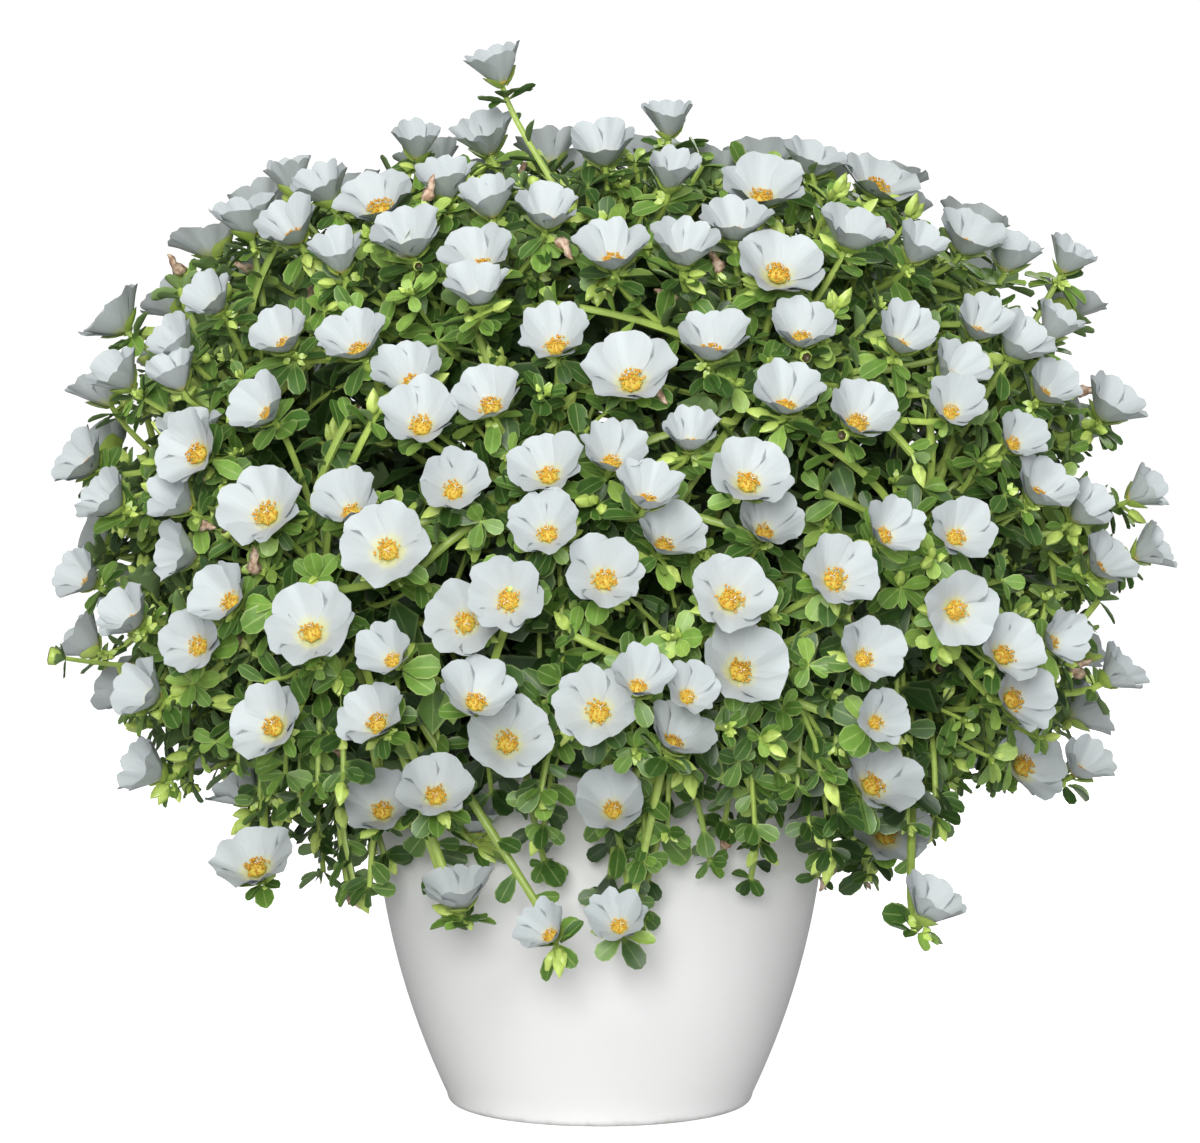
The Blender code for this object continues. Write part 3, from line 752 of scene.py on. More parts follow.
def templateOf(obj, part=None):
    # a model as arrays, to be copied many times; the object itself goes
    mesh = obj.data
    points = np.empty(len(mesh.vertices) * 3)
    mesh.vertices.foreach_get("co", points)
    loops = np.empty(len(mesh.loops), dtype=np.int64)
    mesh.loops.foreach_get("vertex_index", loops)
    counts = np.array([len(face.vertices) for face in mesh.polygons])
    uvs = np.zeros((len(loops), 2))
    if mesh.uv_layers.active is not None:
        flat = np.empty(len(loops) * 2)
        mesh.uv_layers.active.data.foreach_get("uv", flat)
        uvs = flat.reshape(-1, 2)
    parts = np.array([0.0 if part is None else part(face) for face in mesh.polygons])
    bpy.data.objects.remove(obj, do_unlink=True)
    return {"points": points.reshape(-1, 3), "loops": loops, "counts": counts, "uvs": uvs,
            "parts": np.repeat(parts, counts)}


def gathered(copies):
    # several (template, points, part) as one template
    used = 0
    whole = {"points": [], "loops": [], "counts": [], "uvs": [], "parts": []}
    for template, points, part in copies:
        whole["points"].append(points)
        whole["loops"].append(template["loops"] + used)
        whole["counts"].append(template["counts"])
        whole["uvs"].append(template["uvs"])
        whole["parts"].append(template["parts"] if part is None else np.full(len(template["loops"]), part))
        used += len(points)
    return {key: np.concatenate(value) for key, value in whole.items()}


def newHeap():
    return {"points": [], "loops": [], "counts": [], "uvs": [], "growth": [], "used": 0}


def addCopy(heap, template, points, tint, other=0.0):
    corners = len(template["loops"])
    heap["points"].append(points)
    heap["loops"].append(template["loops"] + heap["used"])
    heap["counts"].append(template["counts"])
    heap["uvs"].append(template["uvs"])
    growth = np.ones((corners, 4))
    growth[:, 0] = tint
    growth[:, 1] = template["parts"]
    growth[:, 2] = other
    heap["growth"].append(growth)
    heap["used"] += len(points)


def placed(template, axes, scale, place):
    return template["points"] * scale @ axes + np.array(place)


def frameAlong(direction, facing):
    along = direction.normalized()
    up = facing - along * facing.dot(along)
    if up.length < 0.001:
        up = along.orthogonal()
    up.normalize()
    return np.array((along.cross(up), along, up))


def frameUpright(axis, side=None):
    # rows for a model whose own Z is its axis
    side = axis.orthogonal() if side is None else side
    side = (side - axis * side.dot(axis)).normalized()
    return np.array((side, axis.cross(side), axis))


def finishPiece(obj, node, slot):
    obj.data.materials.clear()
    obj.data.materials.append(materials[slot])
    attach(obj, "root")
    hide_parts(node)
    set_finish(obj, slot)


def pieceFrom(name, heap, node, slot, angle):
    if not heap["points"]:
        return
    mesh = bpy.data.meshes.new(name)
    points = np.concatenate(heap["points"])
    loops = np.concatenate(heap["loops"])
    counts = np.concatenate(heap["counts"])
    mesh.vertices.add(len(points))
    mesh.vertices.foreach_set("co", points.ravel())
    mesh.loops.add(len(loops))
    mesh.loops.foreach_set("vertex_index", loops.astype(np.int32))
    mesh.polygons.add(len(counts))
    starts = np.concatenate(([0], np.cumsum(counts)[:-1]))
    mesh.polygons.foreach_set("loop_start", starts.astype(np.int32))
    mesh.update(calc_edges=True)
    mesh.uv_layers.new(name="UVMap").data.foreach_set("uv", np.concatenate(heap["uvs"]).ravel())
    growth = mesh.attributes.new("growth", "FLOAT_COLOR", "CORNER")
    growth.data.foreach_set("color", np.concatenate(heap["growth"]).ravel())
    mesh.validate()
    obj = bpy.data.objects.new(name, mesh)
    bpy.context.scene.collection.objects.link(obj)
    pickOnly(obj)
    bpy.ops.object.shade_smooth_by_angle(angle=math.radians(angle))
    finishPiece(obj, node, slot)


# Pot

pot = {
    "baseRadius": 0.079, "rimRadius": 0.121, "height": 0.190, "belly": 2.2, "wall": 0.0025, "footRound": 0.005,
    "lipHeight": 0.009, "lipProud": 0.0022, "segments": 128, "drainHoles": 6, "drainCircle": 0.048,
    "drainRadius": 0.006,
}


def wallRadius(height):
    flare = pot["rimRadius"] - pot["baseRadius"]
    return pot["rimRadius"] - flare * (1 - height / pot["height"]) ** pot["belly"]


def makePot():
    foot, wall, top = pot["footRound"], pot["wall"], pot["height"]
    underLip = top - pot["lipHeight"]
    proud = pot["lipProud"]
    rings = []
    for turn in range(0, 91, 15):  # the rounded foot
        angle = math.radians(turn)
        rings.append((wallRadius(foot) - foot + foot * math.sin(angle), foot - foot * math.cos(angle)))
    rings += [(wallRadius(h), h) for h in np.linspace(foot, underLip - proud, 20)[1:]]
    rings += [(wallRadius(underLip) + proud, underLip), (pot["rimRadius"] + proud, underLip + 0.0008)]
    rings += [(pot["rimRadius"] + proud, top - 0.0012), (pot["rimRadius"] + proud - 0.0012, top)]
    rings += [(pot["rimRadius"] - wall + 0.0010, top), (pot["rimRadius"] - wall, top - 0.0010)]
    rings += [(wallRadius(h) - wall, h) for h in np.linspace(top - 0.004, 0.008, 16)]
    rings += [(wallRadius(wall) - wall - 0.0025, wall + 0.0008), (wallRadius(wall) - wall - 0.005, wall)]
    shell = turnedPiece("potShell", rings, pot["segments"])
    cutters = []
    for i in range(pot["drainHoles"]):
        angle = math.tau * i / pot["drainHoles"]
        deselectAll()
        bpy.ops.mesh.primitive_cylinder_add(
            vertices=24, radius=pot["drainRadius"], depth=0.02,
            location=(pot["drainCircle"] * math.cos(angle), pot["drainCircle"] * math.sin(angle), 0.002))
        cutters.append(bpy.context.object)
    deselectAll()
    for cutter in cutters:
        cutter.select_set(True)
    bpy.context.view_layer.objects.active = cutters[0]
    bpy.ops.object.join()
    cutter = bpy.context.object
    pickOnly(shell)
    cut = shell.modifiers.new("drainHoles", "BOOLEAN")
    cut.operation = "DIFFERENCE"
    cut.object = cutter
    cut.solver = "EXACT"
    bpy.ops.object.modifier_apply(modifier=cut.name)
    bpy.data.objects.remove(cutter, do_unlink=True)
    bpy.ops.object.shade_smooth_by_angle(angle=math.radians(40))
    finishPiece(shell, "pot", "white_plastic")


makePot()
print("pot made")

# Soil

soil = {"segments": 96, "crumb": 0.0022, "grain": 110, "fineCrumb": 0.0012, "fineGrain": 320, "gap": 0.0003}


def soilHeight(radius):
    return layout["soilLevel"] + layout["soilDome"] * (1 - (radius / (pot["rimRadius"] - pot["wall"])) ** 2)


def makeSoil():
    inside = pot["wall"] + soil["gap"]
    edge = wallRadius(layout["soilLevel"]) - inside
    low = pot["wall"] + soil["gap"]
    rings = [(wallRadius(low) - inside - 0.005, low)]
    rings += [(wallRadius(h) - inside - 0.0002, h) for h in np.linspace(0.008, layout["soilLevel"], 9)]
    rings += [(r, soilHeight(r)) for r in np.linspace(edge, 0.004, 26)[1:]]
    obj = turnedPiece("soilFill", rings, soil["segments"])
    for vertex in obj.data.vertices:
        out = math.hypot(vertex.co.x, vertex.co.y)
        if vertex.co.z > layout["soilLevel"] + 0.0001 and out < edge - 0.002:
            vertex.co.z += (soil["crumb"] * noise.noise(vertex.co * soil["grain"])
                            + soil["fineCrumb"] * noise.noise(vertex.co * soil["fineGrain"]))
    bpy.ops.object.shade_smooth_by_angle(angle=math.radians(60))
    finishPiece(obj, "soil", "potting_mix")


makeSoil()
print("soil made")

# What the sprays are made of, each modelled once

leaf = {
    "columns": 2, "thick": 0.050,
    # kinds as (width, fold, droop, places of the rows from foot to tip, widths there)
    "kinds": (
        (0.52, 0.16, 0.10, (0.0, 0.46, 0.78, 0.95, 1.0), (0.16, 0.93, 1.00, 0.58, 0.0)),
        (0.60, 0.10, 0.18, (0.0, 0.44, 0.76, 0.94, 1.0), (0.16, 0.90, 1.00, 0.62, 0.0)),
        (0.45, 0.22, 0.05, (0.0, 0.42, 0.74, 0.93, 1.0), (0.18, 0.95, 1.00, 0.60, 0.0)),
        (0.68, 0.08, 0.12, (0.0, 0.42, 0.74, 0.94, 1.0), (0.16, 0.88, 1.00, 0.62, 0.0)),
    ),
    "innerKind": (0.66, 0.12, 0.12, (0.0, 0.56, 1.0), (0.12, 1.00, 0.0)),  # plainer, for deep in the dome
    "innerLevel": 0.80, "innerSize": 1.40, "deeperSize": 1.4,  # larger, and larger still towards the middle
}


def leafTemplates():
    made = []
    for number, (width, fold, droop, stations, widths) in enumerate((*leaf["kinds"], leaf["innerKind"])):
        rows = len(stations) - 1
        obj = flatSheet(f"leafKind{number}", leaf["columns"], rows)
        bpy.ops.object.mode_set(mode="EDIT")
        bpy.context.tool_settings.mesh_select_mode = (True, False, False)
        for row in reversed(range(rows + 1)):
            level = row / rows
            selectVertices(lambda vertex: abs(vertex.co.y - level) < 0.01)
            half = max(widths[row] * width / 2, 0.00001)
            bpy.ops.transform.resize(value=(half, 1, 1))
            bpy.ops.transform.translate(value=(0, stations[row] - level + 5 * (row + 1), 0))
        for row in range(rows + 1):
            selectVertices(lambda vertex: round((vertex.co.y - 0.5) / 5) == row + 1)
            bpy.ops.transform.translate(value=(0, -5 * (row + 1), 0))
        bpy.ops.object.mode_set(mode="OBJECT")
        for vertex in obj.data.vertices:  # the halves fold up from the rib and the tip droops
            vertex.co.z = abs(vertex.co.x) * fold * 2 - droop * vertex.co.y ** 2
        backSheet(obj, leaf["thick"])
        made.append(templateOf(obj, lambda face: float(face.normal.z < 0)))
    return made


petal = {
    "columns": 10, "rows": 4, "thick": 0.00045,
    "notch": (0.03, 0.11), "round": 0.34, "overlap": 0.036, "wave": 0.080, "ripple": 0.028,
    "open": 0.34,  # how much wide blooms lie open
}


def sheetTemplate(name, shape):
    # shaped later, bloom by bloom
    obj = flatSheet(name, shape["columns"], shape["rows"])
    backSheet(obj, 1.0)
    return templateOf(obj)


goldenTurn = 2.39996  # from one leaf or stamen to the next, in radians
heart = {"stamens": 42, "spread": 0.35, "height": 0.42, "kinds": 4}


def heartTemplates():
    draws = random.Random(layout["seed"] + 3)
    deselectAll()
    bpy.ops.mesh.primitive_cone_add(
        vertices=4, radius1=1, radius2=0, depth=1, end_fill_type="TRIFAN", location=(0, 0, 0.5))
    obj = bpy.context.object
    applyPlace()
    for vertex in obj.data.vertices:
        if vertex.co.xy.length < 0.1 and vertex.co.z < 0.5:
            vertex.co.z = -1
    obj.scale = (0.038, 0.038, 0.058)
    applyPlace()
    anther = templateOf(obj)
    thread = templateOf(turnedPiece("filament", ((1, 0), (0.7, 1)), 3))
    mound = templateOf(turnedPiece("pollenMound", ((0.10, 0.02), (0.27, 0.10), (0.25, 0.22), (0.08, 0.33)), 7))
    made = []
    for _ in range(heart["kinds"]):
        copies = [(mound, mound["points"], 0.25)]
        for i in range(heart["stamens"]):
            share = math.sqrt((i + 0.7) / heart["stamens"])
            angle = i * goldenTurn + draws.uniform(-0.3, 0.3)
            out = heart["spread"] * share * draws.uniform(0.74, 1.12)
            top = Vector((math.cos(angle) * out, math.sin(angle) * out,
                          heart["height"] * (1 - 0.42 * share ** 2) * draws.uniform(0.86, 1.06)))
            foot = Vector((math.cos(angle) * out * 0.2, math.sin(angle) * out * 0.2, 0.10))
            if i % 5 == 0:
                stretch = thread["points"] * (0.012, 0.012, (top - foot).length)
                copies.append((thread, stretch @ frameUpright((top - foot).normalized()) + np.array(foot), 0.0))
            lying = Vector((draws.uniform(-1, 1), draws.uniform(-1, 1), draws.uniform(-0.3, 1))).normalized()
            copies.append((anther, anther["points"] @ frameUpright(lying) + np.array(top), 0.5))
        bend = draws.uniform(0, math.tau)
        middle = Vector((math.cos(bend) * 0.10, math.sin(bend) * 0.10, heart["height"] * 0.96))
        for arm in range(3):  # the stigma's arms
            angle = bend + math.tau * arm / 3
            way = Vector((math.cos(angle), math.sin(angle), 0.5)).normalized()
            stretch = thread["points"] * (0.014, 0.014, 0.11)
            copies.append((thread, stretch @ frameUpright(way) + np.array(middle), 1.0))
        made.append(gathered(copies))
    return made


bud = {"segments": 5, "rings": ((0.07, 0.0), (0.25, 0.18), (0.30, 0.46), (0.18, 0.78), (0.02, 1.0))}
tinyBud = {"segments": 4, "rings": ((0.16, 0.0), (0.45, 0.38), (0.12, 0.92))}
seedCup = {"segments": 6, "rings": (
    (0.16, 0.0), (0.45, 0.28), (0.50, 0.66), (0.38, 0.74), (0.24, 0.52), (0.08, 0.48))}
driedBloom = {"segments": 6, "rings": (
    (0.08, 0.0), (0.22, 0.14), (0.24, 0.32), (0.13, 0.50), (0.15, 0.70), (0.08, 0.88), (0.03, 1.0))}
sepal = {"columns": 4, "rows": 3, "thick": 0.0009, "clear": 0.0007, "reach": 0.50, "halfTurn": 1.25}


def budTemplates():
    made = {}
    pointed = turnedPiece("pointedBud", bud["rings"], bud["segments"])
    pointed.scale = (1, 0.78, 1)
    applyPlace()
    made["bud"] = templateOf(pointed)
    made["tiny"] = templateOf(turnedPiece("tinyBud", tinyBud["rings"], tinyBud["segments"]))
    rim = seedCup["rings"][3][1]
    # the cup's inner floor faces are marked, to be painted dark as shade
    made["cup"] = templateOf(
        turnedPiece("seedCup", seedCup["rings"], seedCup["segments"]),
        lambda face: float(face.normal.z > 0.2 and face.center.z < rim - 0.06 and face.center.xy.length < 0.3))
    dried = turnedPiece("driedBloom", driedBloom["rings"], driedBloom["segments"])
    for vertex in dried.data.vertices:  # twisted and crumpled as it shrivels
        turn = vertex.co.z * 2.4
        crease = 1 + 0.35 * math.cos(3 * math.atan2(vertex.co.y, vertex.co.x))
        x, y = vertex.co.x * crease, vertex.co.y * crease
        vertex.co.x = x * math.cos(turn) - y * math.sin(turn) + 0.10 * math.sin(vertex.co.z * 5)
        vertex.co.y = x * math.sin(turn) + y * math.cos(turn)
    made["dried"] = templateOf(dried)
    return made


leaves = leafTemplates()
petalSheet = sheetTemplate("petalSheet", petal)
sepalSheet = sheetTemplate("sepalSheet", sepal)
hearts = heartTemplates()
smallParts = budTemplates()
print("leaves, petals, stamens and buds modelled once each")

# Blooms


def cupSurface(u, v, shape):
    # a petal's surface in the cup's own frame, from u across it and v up it
    reach = shape["reach"] * (
        1 - petal["round"] * np.abs(u) ** 2.9 - shape["notch"] * np.exp(-(u / 0.17) ** 2)
        + 0.014 * np.sin(8 * u + shape["phases"][0]))
    up = v * reach
    spread = np.clip(up / 0.72, 0, 1)
    half = 0.70 + 0.24 * spread * spread * (3 - 2 * spread)
    angle = shape["turn"] + u * half + 0.05 * np.sin(3 * up + shape["phases"][1])
    radius = shape["radius"] * (0.05 + 0.95 * up ** shape["flare"]) * (1 + petal["overlap"] * u)
    height = shape["depth"] * (up ** 1.22 - shape["curl"] * np.clip(up - 0.6, 0, 1) ** 1.6)
    wave = petal["wave"] * up ** 3 * np.sin(shape["wave"] * u + shape["phases"][2])
    wave = wave + petal["ripple"] * up ** 2 * np.sin(10 * u + shape["phases"][3])
    crease = 0.024 * up * np.exp(-(u / 0.24) ** 2) - 0.02 * up * np.cos(6.3 * u + shape["phases"][1])
    radius = radius + shape["radius"] * (wave * (0.85 - 0.4 * shape["open"]) + crease)
    height = height + shape["radius"] * (-wave * (0.35 + 0.6 * shape["open"])) + shape["lift"] * up
    return np.stack((radius * np.cos(angle), radius * np.sin(angle), height), axis=1)


def petalPoints(shape):
    u, v, under = petalSheet["points"].T
    point = cupSurface(u, v, shape)
    step = 0.01
    across = cupSurface(u + step, v, shape) - point
    upward = cupSurface(u, v + step, shape) - point
    outward = np.cross(across, upward)
    outward /= np.linalg.norm(outward, axis=1, keepdims=True) + 1e-12
    return point - outward * (np.abs(under) > 0.5)[:, None] * petal["thick"]


def addBloom(bloom, heaps, draws):
    axes = frameUpright(bloom["axis"], bloom["side"])
    radius = bloom["radius"]
    length = cupLength(bloom)
    wide = clamp((radius - 0.0145) / 0.006)
    openness = clamp(wide * 0.75 + draws.uniform(-0.15, 0.3))
    for number in range(5):
        shape = {
            "turn": bloom["twist"] + math.tau * number / 5 + draws.uniform(-0.07, 0.07),
            "radius": radius * draws.uniform(1.0, 1.09),
            "depth": length * (1.10 - petal["open"] * openness) * draws.uniform(0.94, 1.06),
            "flare": 0.95 - 0.20 * openness,
            "curl": 0.15 + 0.35 * openness,
            "open": openness,
            "lift": draws.uniform(-0.0012, 0.0012),
            "reach": draws.uniform(0.98, 1.06),
            "notch": draws.uniform(*petal["notch"]),
            "wave": draws.uniform(4.2, 7.5),
            "phases": [draws.uniform(0, math.tau) for _ in range(4)],
        }
        points = petalPoints(shape) @ axes + np.array(bloom["base"])
        addCopy(heaps["petals"], petalSheet, points, draws.random(), draws.random())
    kind = hearts[draws.randrange(len(hearts))]
    size = min(radius, 0.0185) * draws.uniform(0.92, 1.06)
    points = kind["points"] * size @ axes + np.array(bloom["base"] + bloom["axis"] * 0.0008)
    addCopy(heaps["stamens"], kind, points, draws.random())
    u, v, inner = sepalSheet["points"].T
    for half in (0, 1):  # the two sepals hug the cup's foot
        up = 0.02 + v * sepal["reach"] * draws.uniform(0.85, 1.1)
        width = sepal["halfTurn"] * np.maximum(1 - v ** 2.2, 0.03) ** 0.6
        angle = bloom["twist"] + 0.6 + math.pi * half + u * width
        out = radius * 1.06 * (0.05 + 0.95 * up ** (0.95 - 0.20 * openness)) + sepal["clear"]
        out = out + (np.abs(inner) < 0.5) * sepal["thick"]
        height = length * (1.10 - petal["open"] * openness) * 0.97 * up ** 1.22 - sepal["clear"]
        points = np.stack((out * np.cos(angle), out * np.sin(angle), height), axis=1)
        points = points @ axes + np.array(bloom["base"])
        addCopy(heaps["buds"], sepalSheet, points, draws.uniform(0.35, 0.8))


# Leaves, shoots and stems

shoot = {
    "each": 30, "length": (0.046, 0.082), "highest": (0.92, 0.955, 0.99), "stalkRadius": 0.0013,
    "leafGap": 0.0078, "leafLength": (0.0100, 0.0205), "tipLeaves": (4, 5, 6),
    # side shoots of a main stem, deep in the dome
    "inner": 7, "innerLength": (0.030, 0.060), "innerRadius": 0.0011,
    # long bare stems just under the blooms
    "runners": 5, "runnerLength": (0.070, 0.120), "runnerRadius": 0.0021,
    # shoots that hang at the dome's lower edge
    "hanging": 15, "hangingBelow": 0.30, "hangingDrop": (0.040, 0.120), "hangingRadius": 0.0015,
    # shoots that come over the rim, for each spray near it, and how low their tips hang
    "apron": 5, "apronLow": (0.118, 0.175), "apronRadius": 0.0018,
    # bloom stalks lower than this are barer and thicker
    "bareBelow": 0.255, "bareRadius": 0.0021, "bloomRadius": 0.0018,
    "mainRadius": 0.0026,
}


def around(side, along, angle):
    return side * math.cos(angle) + along.cross(side) * math.sin(angle)


def jitter(draws, most):
    return Vector([draws.uniform(-most, most) for _ in range(3)])


def bezier(a, b, c, d, count):
    return [a * (1 - t) ** 3 + b * 3 * t * (1 - t) ** 2 + c * 3 * t * t * (1 - t) + d * t ** 3
            for t in (i / (count - 1) for i in range(count))]


cups = {key: np.array([bloom[key] for bloom in blooms]) for key in ("base", "axis", "radius")}
cups["length"] = np.array([cupLength(bloom) for bloom in blooms])


def inCups(points, margin=0.0015):
    # whether each point stands in a bloom's cup or in the space just before its mouth
    hit = np.zeros(len(points), dtype=bool)
    for first in range(0, len(points), 4000):
        away = points[first:first + 4000, None, :] - cups["base"]
        up = (away * cups["axis"]).sum(axis=2)
        out = np.linalg.norm(away - up[:, :, None] * cups["axis"], axis=2)
        wall = cups["radius"] * (0.12 + 0.95 * np.clip(up / cups["length"], 0, 1) ** 0.85) + margin
        hit[first:first + 4000] = ((up > 0.001) & (up < cups["length"] + 0.016) & (out < wall)).any(axis=1)
    return hit


def inTheWay(points):
    # a cup, or the pot's wall
    out = np.hypot(points[:, 0], points[:, 1])
    low = np.clip(points[:, 2], 0, pot["height"])
    wall = wallRadius(low)
    inWall = (points[:, 2] < pot["height"] + 0.002) & (out < wall + 0.005) & (out > wall - 0.006)
    inSoil = (points[:, 2] < layout["soilLevel"] + 0.007) & (out < wall)
    return inCups(points) | inWall | inSoil


def addLeaf(heaps, base, direction, facing, length, tint, draws):
    kind = draws.randrange(len(leaf["kinds"]))
    deep = leaf["innerLevel"] - domeLevel(base)
    # deep in the dome a leaf is plainer, larger and darker: the darker tint is painted shade, darker the deeper
    # it lies
    if deep > 0:
        kind, tint = len(leaves) - 1, tint - 0.22 - deep
        length *= leaf["innerSize"] + leaf["deeperSize"] * deep
    heaps["leafPlans"].append((base, direction.normalized(), facing, length, tint, kind, draws.random()))


def skyward(place):
    # where leaves turn: up and out over the dome, and straight out at its lower edge
    low = clamp((0.30 - place.z) / 0.08)
    out = Vector((place.x, place.y, 0)).normalized()
    over = domeNormal(place).normalized() * 0.55 + Vector((0, 0, 0.45))
    return over * (1 - low) + (out + Vector((0, 0, 0.25))) * low


def leafyStem(heaps, path, start, gap, lengths, tint, draws):
    # alternate leaves up a stem, each a golden turn on from the last
    turn = draws.uniform(0, math.tau)
    walked, due = 0.0, start
    for a, b in zip(path, path[1:]):
        step = (b - a).length
        if step < 0.0001:
            continue
        along = (b - a) / step
        while due <= walked + step:
            place = a + along * (due - walked)
            out = around(along.orthogonal().normalized(), along, turn)
            way = out * draws.uniform(0.75, 1.0) + along * draws.uniform(0.25, 0.75)
            sky = skyward(place)
            loose = jitter(draws, 0.5)
            level = clamp((0.28 - place.z) / 0.06)
            facing = along * 0.8 * (1 - level) + sky * (draws.uniform(0.4, 1.2) + level * 0.6) + loose
            addLeaf(heaps, place + out * 0.0006, way, facing, draws.uniform(*lengths),
                    tint + draws.uniform(-0.22, 0.22), draws)
            turn += goldenTurn
            due += gap * draws.uniform(0.8, 1.25)
        walked += step


def tipRosette(heaps, place, along, count, lengths, tint, draws):
    side = along.orthogonal().normalized()
    turn = draws.uniform(0, math.tau)
    for i in range(count):
        angle = turn + math.tau * i / count + draws.uniform(-0.45, 0.45)
        out = around(side, along, angle)
        way = out + along * draws.uniform(-0.1, 1.1)
        tilt = jitter(draws, 0.4)
        level = clamp((0.28 - place.z) / 0.06)
        facing = along * (1 - level * 0.8) + skyward(place) * (0.6 + level) + tilt
        addLeaf(heaps, place + out * 0.0005, way, facing, draws.uniform(*lengths),
                tint + draws.uniform(-0.15, 0.2), draws)


def addPart(heap, kind, axis, size, place, tint):
    part = smallParts[kind]
    addCopy(heap, part, placed(part, frameUpright(axis), size, place), tint)


def addBuds(heaps, place, along, draws, odds):
    # what stands at a tip: pointed buds, a clutch of tiny ones, a seed cup or a dried bloom
    pick = draws.random()
    side = along.orthogonal().normalized()
    if inTheWay(np.array([tuple(place + along * ahead) for ahead in (0.004, 0.010, 0.015)])).any():
        return

    def nearTip(wide):
        return (along + around(side, along, draws.uniform(0, math.tau)) * wide).normalized()

    if pick < odds[0]:
        for _ in range(draws.choice((1, 1, 2, 3))):
            way = nearTip(draws.uniform(0.2, 0.9))
            size = draws.uniform(0.0095, 0.0138)
            foot = place + way * draws.uniform(0.003, 0.007)
            heaps["stalks"].append(([place, foot], 0.0010))
            addPart(heaps["buds"], "bud", way, size, foot - way * 0.0006, draws.uniform(0.55, 1.0))
    elif pick < odds[1]:
        for _ in range(draws.randrange(3, 6)):
            way = nearTip(draws.uniform(0.3, 1.4))
            size = draws.uniform(0.0042, 0.0060)
            foot = place + way * draws.uniform(0.001, 0.0035)
            addPart(heaps["buds"], "tiny", way, size, foot, draws.uniform(0.3, 0.8))
    elif pick < odds[2]:
        way = nearTip(0.5)
        foot = place + way * 0.004
        heaps["stalks"].append(([place, foot], 0.0011))
        addPart(heaps["buds"], "cup", way, draws.uniform(0.0052, 0.0068), foot, draws.uniform(0.5, 0.9))
    elif pick < odds[3]:
        way = nearTip(0.6)
        foot = place + way * 0.004
        heaps["stalks"].append(([place, foot], 0.0011))
        addPart(heaps["buds"], "tiny", way, 0.0070, foot - way * 0.001, draws.uniform(0.6, 0.9))
        addPart(heaps["withered"], "dried", nearTip(0.6), draws.uniform(0.011, 0.016), foot + way * 0.0045,
                draws.random())


def growBloomStalk(bloom, heaps, draws):
    root, base, axis = bloom["root"], bloom["base"], bloom["axis"]
    span = (base - root).length
    path = bezier(root, root.lerp(base, 0.4), base - axis * span * 0.20, base, 9)
    low = base.z < shoot["bareBelow"]
    heaps["stalks"].append((path, shoot["bareRadius"] if low else shoot["bloomRadius"]))
    bare, gap = (0.010, 0.016) if low else (0.004, 0.0105)
    leafyStem(heaps, path[2:-1], bare, gap, (0.011, 0.018), 0.36, draws)
    count = draws.choice((5, 6, 7, 8))
    turn = bloom["twist"]
    for i in range(count):  # the whorl under the cup
        angle = turn + math.tau * i / count + draws.uniform(-0.5, 0.5)
        out = around(bloom["side"], axis, angle)
        way = out + axis * draws.uniform(-0.35, 0.6)
        reach = bloom["whorl"] * draws.uniform(0.5, 0.95)
        tilt = jitter(draws, 0.4)
        addLeaf(heaps, bloom["node"] + out * 0.0012 - axis * draws.uniform(0, 0.004), way,
                axis + Vector((0, 0, 0.2)) + tilt, max(reach, 0.008), 0.5 + draws.uniform(-0.35, 0.35), draws)
    out = around(bloom["side"], axis, turn + 2)
    addBuds(heaps, bloom["node"], (out - axis * 0.05).normalized(), draws, (0.42, 0.78, 0.88, 0.95))
    if draws.random() < 0.6:
        addBuds(heaps, bloom["node"], (-out - axis * 0.1).normalized(), draws, (0.45, 0.90, 0.95, 0.95))


def growShoot(spray, number, heaps, draws):
    way = goldenDirection(number, shoot["each"], -0.95)
    way = (way + spray["outward"] * draws.uniform(0.55, 1.15)).normalized()
    start = spray["core"] + way * 0.006
    length = draws.uniform(*shoot["length"])
    tip = start + way * length
    highest = draws.choice(shoot["highest"])
    while domeLevel(tip) > highest and length > 0.02:
        length *= 0.92
        tip = start + way * length
    lift = Vector((draws.uniform(-0.010, 0.010), draws.uniform(-0.010, 0.010), draws.uniform(-0.012, 0.006)))
    path = bezier(start, start + way * length * 0.35 + lift, start + way * length * 0.7 + lift, tip, 6)
    leafOut(heaps, path, shoot["stalkRadius"], 0.016, shoot["leafGap"], draws.uniform(0.08, 0.70), draws)


def leafOut(heaps, path, radius, bare, gap, tint, draws, odds=(0.24, 0.55, 0.60, 0.64)):
    # a stem with leaves from its bare foot up and a tip, cut off where it would meet a bloom or the pot
    blocked = inTheWay(np.array([tuple(point) for point in path]))
    if blocked.any():
        path = path[:int(np.argmax(blocked))]
        if len(path) < 4:
            return
    along = (path[-1] - path[-2]).normalized()
    heaps["stalks"].append((path, radius))
    leafyStem(heaps, path, bare, gap, shoot["leafLength"], tint, draws)
    tipRosette(heaps, path[-1], along, draws.choice(shoot["tipLeaves"]), (0.008, 0.016), tint + 0.14, draws)
    addBuds(heaps, path[-1], along, draws, odds)


def growInner(spray, heaps, draws):
    # side shoots all the way up the main stem
    bend = mainStemPath(spray)
    for i in range(shoot["inner"]):
        start = bend[min(3 + i * 7 // shoot["inner"], len(bend) - 1)]
        way = goldenDirection(i, shoot["inner"], -0.6)
        way = (way + Vector((0, 0, 0.2))).normalized()
        length = draws.uniform(*shoot["innerLength"])
        while domeLevel(start + way * length) > 0.9 and length > 0.02:
            length *= 0.9
        sag = Vector((0, 0, draws.uniform(-0.008, 0.004)))
        path = bezier(start, start + way * length * 0.4 + sag, start + way * length * 0.7 + sag,
                      start + way * length, 6)
        # inner shoots take darker tints, as painted shade inside the dome
        leafOut(heaps, path, shoot["innerRadius"], 0.006, 0.0085, draws.uniform(0.0, 0.4), draws, (0, 0, 0, 0))


